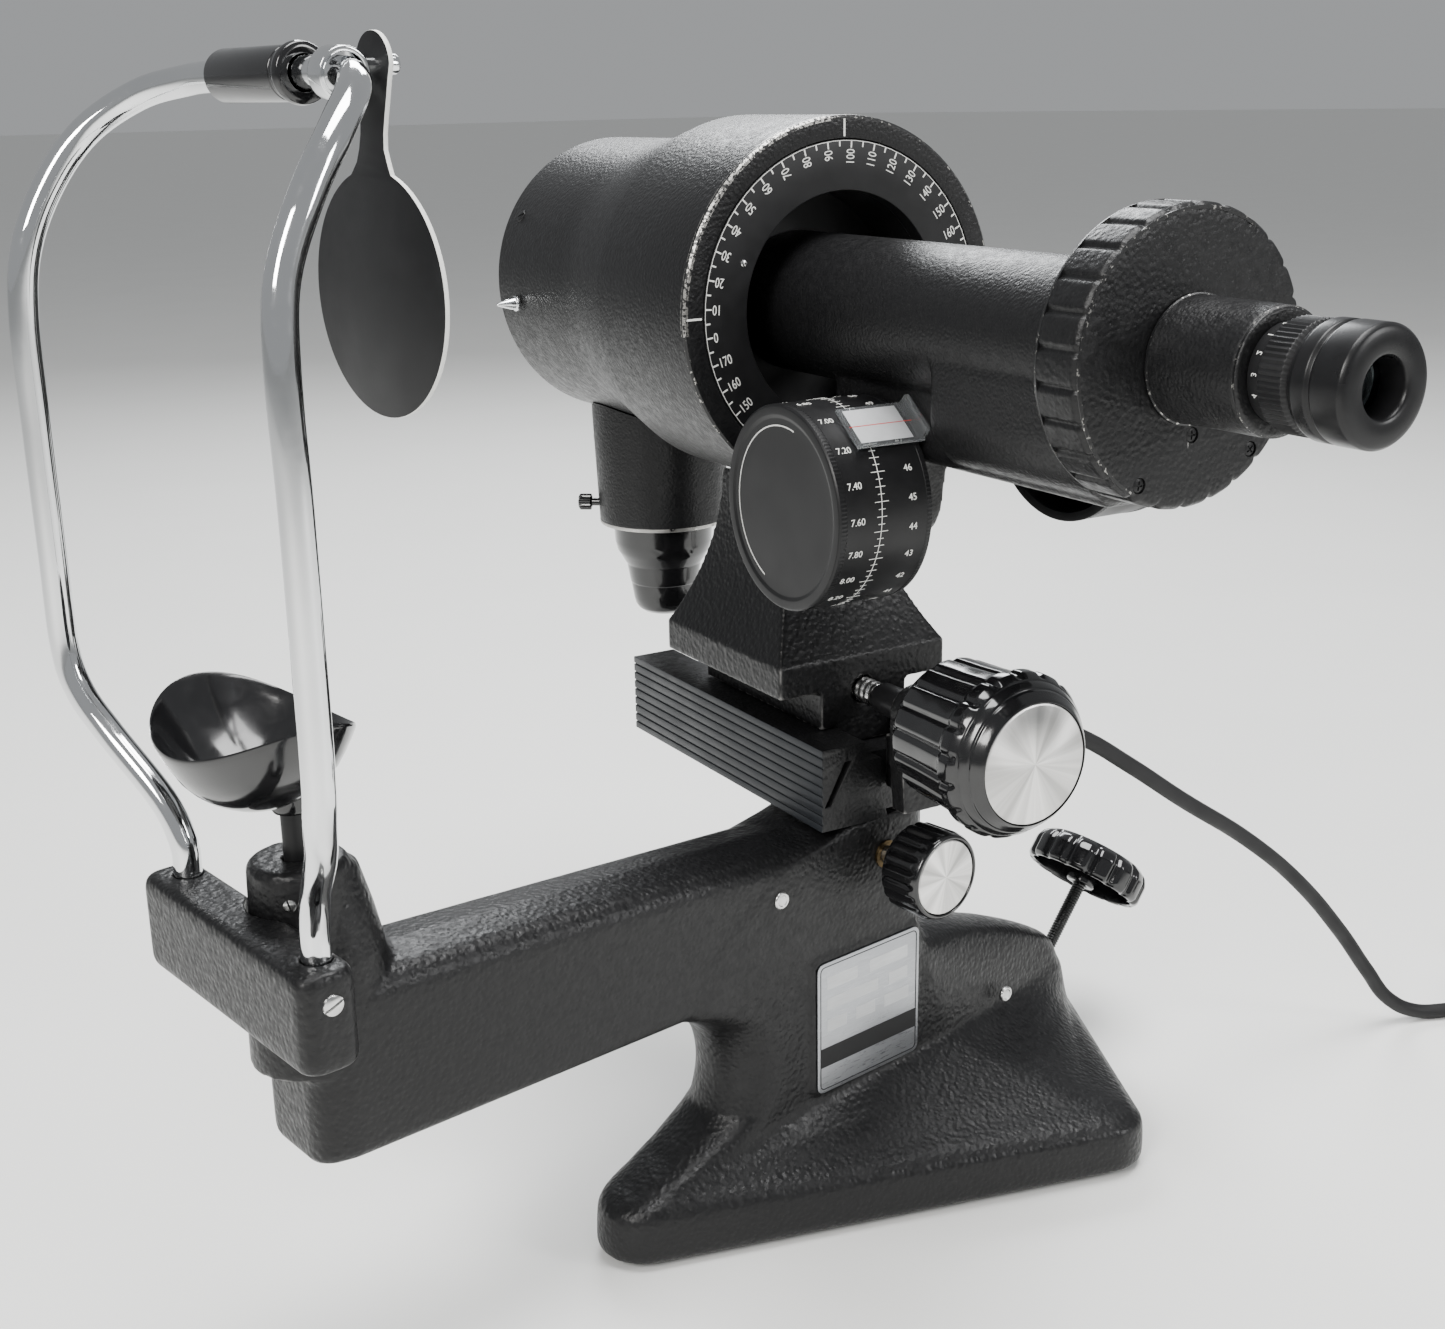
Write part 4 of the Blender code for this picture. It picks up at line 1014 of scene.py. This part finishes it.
def slide():
    bed = from_node("slide_bed")
    bed.name = "slide_bed_casting"
    bevelled(bed, 0.22, 2)
    finish_piece(bed, HOUSING_PAINT, "swivel", "slide_bed", sharp=38)
    bed.data.materials.append(PANEL)
    side = HEAD.to_3x3() @ Vector((0, -1, 0))
    grooved_from = -37.8           # y of the near side, with its grooves and ribs
    for face in bed.data.polygons:
        local = HEAD.inverted() @ face.center
        if local.y * 1000 < grooved_from and face.normal.dot(side) > 0.2:
            face.material_index = 1
    bracket = from_node("screw_bracket")
    cast(bracket, "screw_bracket_casting", CAST, "swivel", "screw_bracket", 0.8, 4)


def saddle():
    low, high = (-93.0, -46.4, 250.0), (12.0, 46.4, 265.5)
    rib = [(-14.1, 233), (-18.3, 222.5), (18.3, 222.5), (14.1, 233)]
    flare = []
    for k in range(25):
        t = k / 24
        ease = (1 - t) ** 2.2
        z = high[2] - 0.5 + 84 * t
        x0 = -76 - 17 * ease
        x1 = -19 + 31 * ease
        half = 23 + 23.4 * ease
        flare.append([(x0, -half, z), (x1, -half, z), (x1, half, z), (x0, half, z)])
    block = scratch(box(low, high), HEAD)
    joined = [scratch(loft(flare), HEAD), scratch(box((low[0], -24, 232), (high[0], 24, 251)), HEAD),
              scratch(prism(rib, low[0], high[0], "x"), HEAD)]
    cuts = [rod(6.6, 20, -88, set_at(HEAD, (0, 0, SCREW_Z), X)), rod(84.2, 40, -140, AXIS, FINE)]
    cast(solid(block, joined, cuts), "saddle_casting", CAST, "carriage", "carriage_saddle", 1.1, 3)


def housing():
    shell = [(73.0, FACE_X - 0.2), (73.6, FACE_X), (82, FACE_X), (RIM_R, FACE_X - 1), (RIM_R, -86),
             (72.6, -132), (FRONT_R, -150), (FRONT_R, -222), (FRONT_R - 1, -223), (66, -223), (66, -134),
             (77, -88), (77, -17), (73.0, -17)]
    skin = rounded_profile(shell, 3.0, True, 5)
    spin("housing_shell", skin, HOUSING_PAINT, "carriage", AXIS, "housing", sides=192, loop=True, sharp=30)
    lip = [(81.5, FACE_X - 0.3), (81.6, FACE_X + 0.03), (82.0, FACE_X + 0.03), (82.9, FACE_X - 0.8),
           (RIM_R + 0.03, FACE_X - 1.4), (82.6, FACE_X - 1.8)]
    worn_lip = [(r if r > 81.8 else r - 0.9, x if x > FACE_X - 1 else x - 1.1) for r, x in lip]
    piece("housing_rim_specks", swept(lip, 275, 545), SPECKED, "carriage", AXIS, None, "black_casting")
    piece("housing_rim_wear", swept(worn_lip, 185, 275), WORN, "carriage", AXIS, None, "black_casting")
    front = [(34, -217.2), (64.8, -217.2), (65.6, -218), (65.6, -221), (34, -221)]
    spin("front_plate_disc", front, SATIN, "carriage", AXIS, "front_plate", soft=0.4, loop=True)
    glass = [(20, -217.5), (33.7, -217.5), (33.7, -220), (20, -220)]
    spin("mire_ring_glass", glass, MIRE, "carriage", AXIS, "mire_glass", soft=0.4, loop=True)
    lens = [(0, -213.6), (5, -213.8), (10, -214.2), (15, -215), (19.6, -216), (19.6, -219), (15, -220.3),
            (10, -221), (5, -221.4), (0, -221.6)]
    spin("objective_glass", lens, GLASS, "carriage", AXIS, "objective_lens", sharp=25)
    pin = [(0, 84), (0.5, 83.8), (0.9, 83.2), (3.0, 76), (3.2, 74.2), (4.0, 73.8), (4.0, 72.2), (0, 72.2)]
    for node, side in (("sight_pin_right", -1), ("sight_pin_left", 1)):
        spin(node + "_chrome", pin, CHROME, "carriage", set_at(HEAD, (-198, 0, AXIS_Z - 9), (0, side, 0)),
             node, soft=0.3, sides=48, sharp=40)
    screw_head("housing_screw", "carriage", set_at(HEAD, (-208, -math.sqrt(FRONT_R ** 2 - 34 ** 2),
                                                          AXIS_Z + 34), (0, -0.88, 0.47)), 3.2, 1.0, SATIN)


def lamp():
    place = set_at(HEAD, (LAMP_X, 0, 0))
    tube = [(30, 294), (32.6, 294), (33.4, 294.5), (34.0, 296), (34.2, 298), (36.4, 352), (36.8, 372),
            (31, 372)]
    screw_place = set_at(HEAD, (LAMP_X, 0, 304), (-0.6, -0.8, 0))
    cuts = [rod(72.5, -100, -240, AXIS, FINE), rod(2.6, 44, 20, screw_place, 32)]
    house = solid(scratch(turned(tube, 96, True), place), (), cuts)
    house.name = "lamp_house_casting"
    finish_piece(house, TUBE_PAINT, "carriage", "lamp_house", sharp=35)
    trim = [(32.9, 294.4), (33.8, 294.4), (34.2, 295.0), (34.2, 296.2), (33.8, 296.6), (32.9, 296.4)]
    spin("lamp_house_trim", trim, RIM_METAL, "carriage", place, None, "steel", sides=96, loop=True)
    cap = [(0, 247), (12, 249), (16, 270), (22.5, 284), (24, 299), (29.6, 299), (29.6, 293.5), (27, 293.2),
           (26.4, 284), (25.2, 279), (23.6, 276.5), (22.0, 273.5), (20.4, 271), (19.2, 264), (18.6, 260.8),
           (18.2, 260.4), (18.2, 259.8), (17, 252), (16.2, 248.6), (14.5, 246), (12, 244.2), (9, 243.2),
           (0, 243)]
    spin("lamp_cap_moulding", cap, GLOSS, "carriage", place, "lamp_cap", soft=0.5, sides=96, sharp=50)
    knob = filled([(0, 46), (3.4, 46), (4.4, 45.2), (4.4, 39.4), (3.4, 39), (2.2, 38.6), (2.2, 30.6),
                   (0, 30.6)], 2)
    thumb = scratch(turned(knob, 96, shape=grooves(24, 0.35, 4.0, 1)), screw_place)
    slot = scratch(box((-6, -0.5, 45), (6, 0.5, 48)), screw_place)
    thumb = solid(thumb, (), [slot])
    thumb.name = "lamp_thumb_screw"
    finish_piece(thumb, GLOSS, "lamp_lock", "lamp_screw", sharp=45)
    screw_head("lamp_house_screw", "carriage", set_at(HEAD, (LAMP_X - 20, -29.3, 340), (-0.5, -0.86, 0)),
               3.0, 1.0, BRIGHT, 0.9)


# ---------------- barrel

def text_shape(text, height, align="CENTER", narrow=1.0):
    """A number's flat outline as (points, faces), with digits of the given height."""
    curve = bpy.data.curves.new("word", "FONT")
    curve.body = text
    curve.align_x = align
    curve.align_y = "CENTER"
    curve.size = height / 0.7
    curve.resolution_u = 3
    mesh = mesh_of_curve(curve)
    points = [(v.co.x * narrow, v.co.y) for v in mesh.vertices]
    return points, [list(p.vertices) for p in mesh.polygons]


def straight(u, v):
    return u, v


class Marks:
    """Collects thin raised marks that are laid on a surface, as one piece."""

    def __init__(self, lay):
        self.lay = lay
        self.points = []
        self.faces = []

    def add(self, shape, place, thick=0.09):
        """Adds a flat shape. place turns its (u, v) into surface coordinates."""
        flat, faces = shape
        first = len(self.points)
        count = len(flat)
        for rise in (thick, -0.05):
            self.points += [self.lay(*place(u, v), rise) for u, v in flat]
        edges = {}
        for face in faces:
            self.faces.append([first + k for k in face])
            self.faces.append([first + count + k for k in reversed(face)])
            for a, b in zip(face, face[1:] + face[:1]):
                edges[(a, b)] = True
        for a, b in edges:
            if (b, a) not in edges:
                self.faces.append([first + b, first + a, first + count + a, first + count + b])

    def bar(self, place, half, low, high):
        self.add(([(-half, low), (-half, high), (half, low), (half, high)], [[0, 2, 3, 1]]), place)

    def ring(self, inner, outer, start, end, steps):
        """Part of a flat ring, between two angles in degrees."""
        for k in range(steps):
            angles = [math.radians(start + (end - start) * t / steps) for t in (k, k + 1)]
            flat = [(r * math.cos(a), r * math.sin(a)) for a in angles for r in (inner, outer)]
            self.add((flat, [[0, 1, 3, 2]]), straight)

    def finish(self, name, body, slot):
        piece(name, (self.points, self.faces), WHITE, body, MARK_PLACE, None, slot)


def degree_dial():
    dial = rounded_profile([(51, -14), (72.6, -14), (72.6, FACE_X), (51, FACE_X)], 0.5, True)
    spin("dial_ring", dial, SATIN, "barrel", AXIS, "degree_dial", sides=192, loop=True)

    def on_face(y, z, rise):
        return FACE_X + rise, y, z

    def spoke(angle):
        out = Vector((math.cos(angle), math.sin(angle)))
        across = Vector((out.y, -out.x))

        def at(u, v):
            spot = across * u + out * v
            return spot.x, spot.y
        return at

    def word(angle, outward):
        """Numbers lie along the radius. The first half turn's read outwards, the others inwards."""
        out = Vector((math.cos(angle), math.sin(angle)))
        right = out * outward
        up = Vector((-right.y, right.x))

        def at(u, v):
            spot = out * NUMBER_R + right * u + up * v
            return spot.x, spot.y
        return at

    marks = Marks(on_face)
    for half_turn, outward in ((0, 1), (180, -1)):
        for value in range(0, 180, 5):
            angle = math.radians(INDEX_ANGLE - half_turn - value)
            marks.bar(spoke(angle), 0.34, 69.0 if value % 10 == 0 else 69.7, 71.9)
            if value % 10 == 0:
                align = "RIGHT" if outward > 0 else "LEFT"
                marks.add(text_shape(str(value), 4.3, align, 0.74), word(angle, outward))
    marks.finish("dial_numbers", "barrel", "satin_black")
    line = Marks(on_face)
    line.ring(72.0, 72.25, 0, 360, 72)
    line.finish("dial_line", "barrel", "satin_black")
    index = Marks(on_face)
    for angle in (90, 180):
        index.bar(spoke(math.radians(angle)), 0.45, 73.8, 81.3)
    index.finish("index_marks", "carriage", "black_casting")
    turn = math.radians(157)
    screw_spot = (FACE_X, 57 * math.cos(turn), AXIS_Z + 57 * math.sin(turn))
    screw_head("dial_screw", "barrel", set_at(HEAD, screw_spot, X), 1.6, 0.7, BRIGHT)
    carrier = [(51, -14.4), (55.8, -14.4), (55.8, -50), (26, -50), (26, -46), (51, -46)]
    spin("carrier_ring", carrier, SATIN, "barrel", AXIS, "barrel_carrier", loop=True)


def barrel():
    x, z, _ = NEAR_DRUM
    keel = rounded((-18, AXIS_Z - 57), (18, AXIS_Z), 8, 8)
    belly = rounded((-31, AXIS_Z - 55), (31, AXIS_Z + 10), 24, 14)
    lug = arc((x, AXIS_Z + z), 20, 180, 360, 32) + [(x + 26, AXIS_Z - 40), (x - 26, AXIS_Z - 40)]
    tube = rod(32, 189.6, -45.6, AXIS, 160)
    joined = [scratch(prism(keel, 14, 186, "x"), HEAD), scratch(prism(belly, 100, 189, "x"), HEAD),
              scratch(prism(lug, -17, 4, "y"), HEAD)]
    bore = [rod(24, 200, -60, AXIS, 96)]
    cast(solid(tube, joined, bore), "barrel_tube_casting", TUBE_PAINT, "barrel", "barrel_casting", 1.2, 5)
    cover = [(18, 190), (53, 190), (54.1, 191.4), (54.1, 210), (52.6, 212), (50, 212.2), (24, 212.2),
             (18, 212)]
    skin = rounded_profile(filled(cover, 5), 0.8, True)
    disc = scratch(turned(skin, 624, True, grooves(COVER_LANDS, 1.25, 51.5, 10)), AXIS)
    seats = ((1.8, -27.2), (31.3, -35.4), (-22.4, -42.8))
    recesses = [scratch(turned([(0, 4), (3.2, 4), (2.9, -1.0), (0, -1.0)], 48),
                        set_at(HEAD, (212.2, y, AXIS_Z + height), X)) for y, height in seats]
    disc = solid(disc, (), recesses)
    disc.name = "rear_cover_casting"
    finish_piece(disc, RIM, "barrel", "rear_cover", sharp=50)
    for k, (y, height) in enumerate(seats):
        screw_head(f"cover_screw_{k}", "barrel", set_at(HEAD, (211.2, y, AXIS_Z + height), X), 2.7, 0.8,
                   SATIN, 0.7 * k, True)
    for front, back, radius in ((189.97, 191.9, 54.13), (211.4, 212.23, 52.9)):
        edge = [(radius - 1.5, front), (radius - 0.6, front), (radius, back - 0.5), (radius, back),
                (radius - 1.4, back)]
        piece(f"cover_edge_{front:.0f}", swept(edge, 150, 330), SPECKED, "barrel", AXIS, None,
              "black_casting")
    neck = rounded_profile([(15, 212.3), (23.2, 212.3), (22.6, 214), (22.3, 252), (21.3, 254), (15, 254)],
                           0.8, True)
    spin("neck_casting", neck, TUBE_PAINT, "barrel", AXIS, "eyepiece_neck", sides=96, loop=True, sharp=50)
    for front, radius in ((212.9, 23.35), (252.6, 22.3)):
        edge = [(radius - 0.6, front), (radius + 0.02, front + 0.1), (radius + 0.02, front + 0.45),
                (radius - 0.6, front + 0.6)]
        spin(f"neck_edge_{front:.0f}", edge, SPECKED, "barrel", AXIS, None, "black_casting", sides=96,
             loop=True)


POWER_AT_REST = 47.6           # dioptres under the cursor
DEGREES_PER_DIOPTRE = 16
POWER_ROW = 29.5               # rows of numbers, measured along the drum's axis
RADIUS_ROW = 57.2
MM_POWER = 33750               # dioptres times hundredths of a millimetre of radius
NUMBER_HEIGHT = 2.9


def drum_marks(name, values, body, centre, side, tilt):
    """Numbers and ticks wrapped round a drum."""
    x, z, radius = centre

    def lay(along, angle, rise):
        turn = math.radians(angle)
        reach = radius + rise
        return x + reach * math.cos(turn), along, z + reach * math.sin(turn)
    marks = Marks(lay)
    per_mm = math.degrees(1 / radius)

    def spot(along, angle):
        return lambda u, v: (along + u, angle + v * per_mm)

    def angle_of(power):
        return tilt + (power - POWER_AT_REST) * DEGREES_PER_DIOPTRE

    def line_at(power):
        return side * (44 + (47 - power) * 0.55)
    powers = [40 + 0.25 * k for k in range(45)]
    for power in powers:
        whole = power % 1 == 0
        reach = 3.4 if whole else (2.4 if power % 0.5 == 0 else 1.6)
        middle = spot(line_at(power), angle_of(power))
        tick = [(-reach, -LINE_HALF), (reach, -LINE_HALF), (reach, LINE_HALF), (-reach, LINE_HALF)]
        marks.add((tick, [[0, 1, 2, 3]]), middle)
        if whole:
            marks.add(text_shape(str(round(power)), NUMBER_HEIGHT), spot(side * POWER_ROW, angle_of(power)))
    for before, after in zip(powers, powers[1:]):
        a, b = angle_of(before), angle_of(after)
        flat = [(line_at(before) - LINE_HALF, a), (line_at(before) + LINE_HALF, a),
                (line_at(after) + LINE_HALF, b), (line_at(after) - LINE_HALF, b)]
        marks.add((flat, [[0, 1, 2, 3]]), straight)
    for value in values:
        marks.add(text_shape(f"{value / 100:.2f}", NUMBER_HEIGHT),
                  spot(side * RADIUS_ROW, angle_of(MM_POWER / value)))
    marks.finish(name, body, "satin_black")


def drums():
    for name, centre, side, inner in (("horizontal", NEAR_DRUM, -1, 20), ("vertical", FAR_DRUM, 1, 34)):
        x, z, radius = centre
        place = set_at(HEAD, (x, 0, AXIS_Z + z), (0, side, 0))
        skin = [(0, 65.4), (radius - 6, 65.4), (radius - 4.5, 66), (radius - 1, 66), (radius, 65),
                (radius, 62.4), (radius - 0.25, 62.2), (radius - 0.25, inner + 2.4), (radius, inner + 2.2),
                (radius, inner), (radius - 4, inner), (radius - 4, 60), (9, 60), (9, inner + 6),
                (4.3, inner + 6), (4.3, 58), (0, 58)]
        fine = turned(filled(rounded_profile(skin, 0.35), 6), 480, shape=grooves(160, 0.3, radius - 0.1, 1))
        piece(name + "_drum_moulding", fine, SATIN, name + "_drum", place, name + "_drum", sharp=50)
    drum_marks("horizontal_scale", range(640, 840, 20), "horizontal_drum", NEAR_DRUM, -1, CURSOR_TILT)
    x, z, _ = NEAR_DRUM
    arc_line = Marks(lambda u, v, rise: (x + u, -65.4 - rise, z + v))
    arc_line.ring(34.6, 35.2, 75, 245, 60)
    arc_line.finish("horizontal_face_arc", "horizontal_drum", "satin_black")


def cursors():
    for name, (x, z, radius), side, face in (("horizontal", NEAR_DRUM, -1, 18),
                                             ("vertical", FAR_DRUM, 1, 32)):
        turn = math.radians(CURSOR_TILT)
        out = Vector((math.cos(turn), math.sin(turn)))
        across = Vector((-out.y, out.x))
        middle = Vector((x, AXIS_Z + z))

        def slab(near, far, low, high, half, round_by=0.8):
            flat = [middle + out * (radius + reach) + across * shift for reach,
                    shift in rounded((low, -half), (high, half), round_by, 4)]
            return prism([tuple(place) for place in flat], side * near, side * far, "y")

        window = scratch(slab(face + 1, 52, 1.0, 2.6, 11), HEAD)
        foot = scratch(slab(face + 0.4, face + 2.4, 0.8, 8, 10), HEAD)
        made = solid(window, [foot])
        made.name = name + "_cursor_clear"
        finish_piece(made, CLEAR, "barrel", name + "_cursor", sharp=30)
        piece(name + "_cursor_frost", slab(face + 6, 50, 2.55, 2.72, 9, 0.08), FROST, "barrel", HEAD, None,
              "clear_plastic")
        piece(name + "_cursor_line", slab(face + 2, 51, 2.6, 2.8, 0.2, 0.05), RED, "barrel", HEAD, None,
              "clear_plastic")


def eyepiece():
    ring = [(12, 246), (14.6, 246), (14.6, 254.3), (17.2, 254.4), (17.4, 260), (19.7, 261), (19.7, 271),
            (17.4, 273), (12, 273)]
    piece("diopter_ring_knurled", turned(filled(rounded_profile(ring, 0.3, True), 4), 240, True,
                                         grooves(60, 0.5, 19.0, 1)), SATIN, "eyepiece", AXIS,
          "diopter_ring", sharp=50)
    cup = [(9.7, 291), (10.0, 295.4), (10.6, 296.6), (12.0, 297), (17.6, 297), (19.4, 296.4), (20.5, 295),
           (20.5, 284), (19, 282.6), (20.4, 281.2), (20.4, 276), (19, 273.3), (12.4, 273.3), (12.4, 284),
           (9.7, 286)]
    spin("eyecup_moulding", cup, EYECUP, "eyepiece", AXIS, "eyecup", soft=0.5, loop=True, sharp=50)
    lens = [(0, 283.6), (3, 283.45), (6, 283), (9, 282.3), (12, 281.4), (12, 278.6), (0, 278.6)]
    spin("eye_lens_glass", lens, GLASS, "eyepiece", AXIS, "eye_lens", sides=96, sharp=25)
    marks = Marks(lambda along, angle, rise: (along, (RING_R + rise) * math.cos(math.radians(angle)),
                                              (RING_R + rise) * math.sin(math.radians(angle))))
    per_mm = math.degrees(1 / RING_R)
    for k, value in enumerate((4, 3, 2, 1, 0, 1, 2, 3)):
        angle = 200 - 24 * k
        marks.add(text_shape(str(value), 2.2), lambda u, v, angle=angle: (257.4 + v, angle - u * per_mm))
    marks.finish("diopter_numbers", "eyepiece", "satin_black")


def main():
    dress_cad_nodes()
    camera()
    studio()
    cord()
    stand()
    rating_plate()
    headrest()
    occluder()
    chin_rest()
    lock()
    elevation()
    focus()
    slide()
    saddle()
    housing()
    lamp()
    degree_dial()
    barrel()
    drums()
    cursors()
    eyepiece()


main()
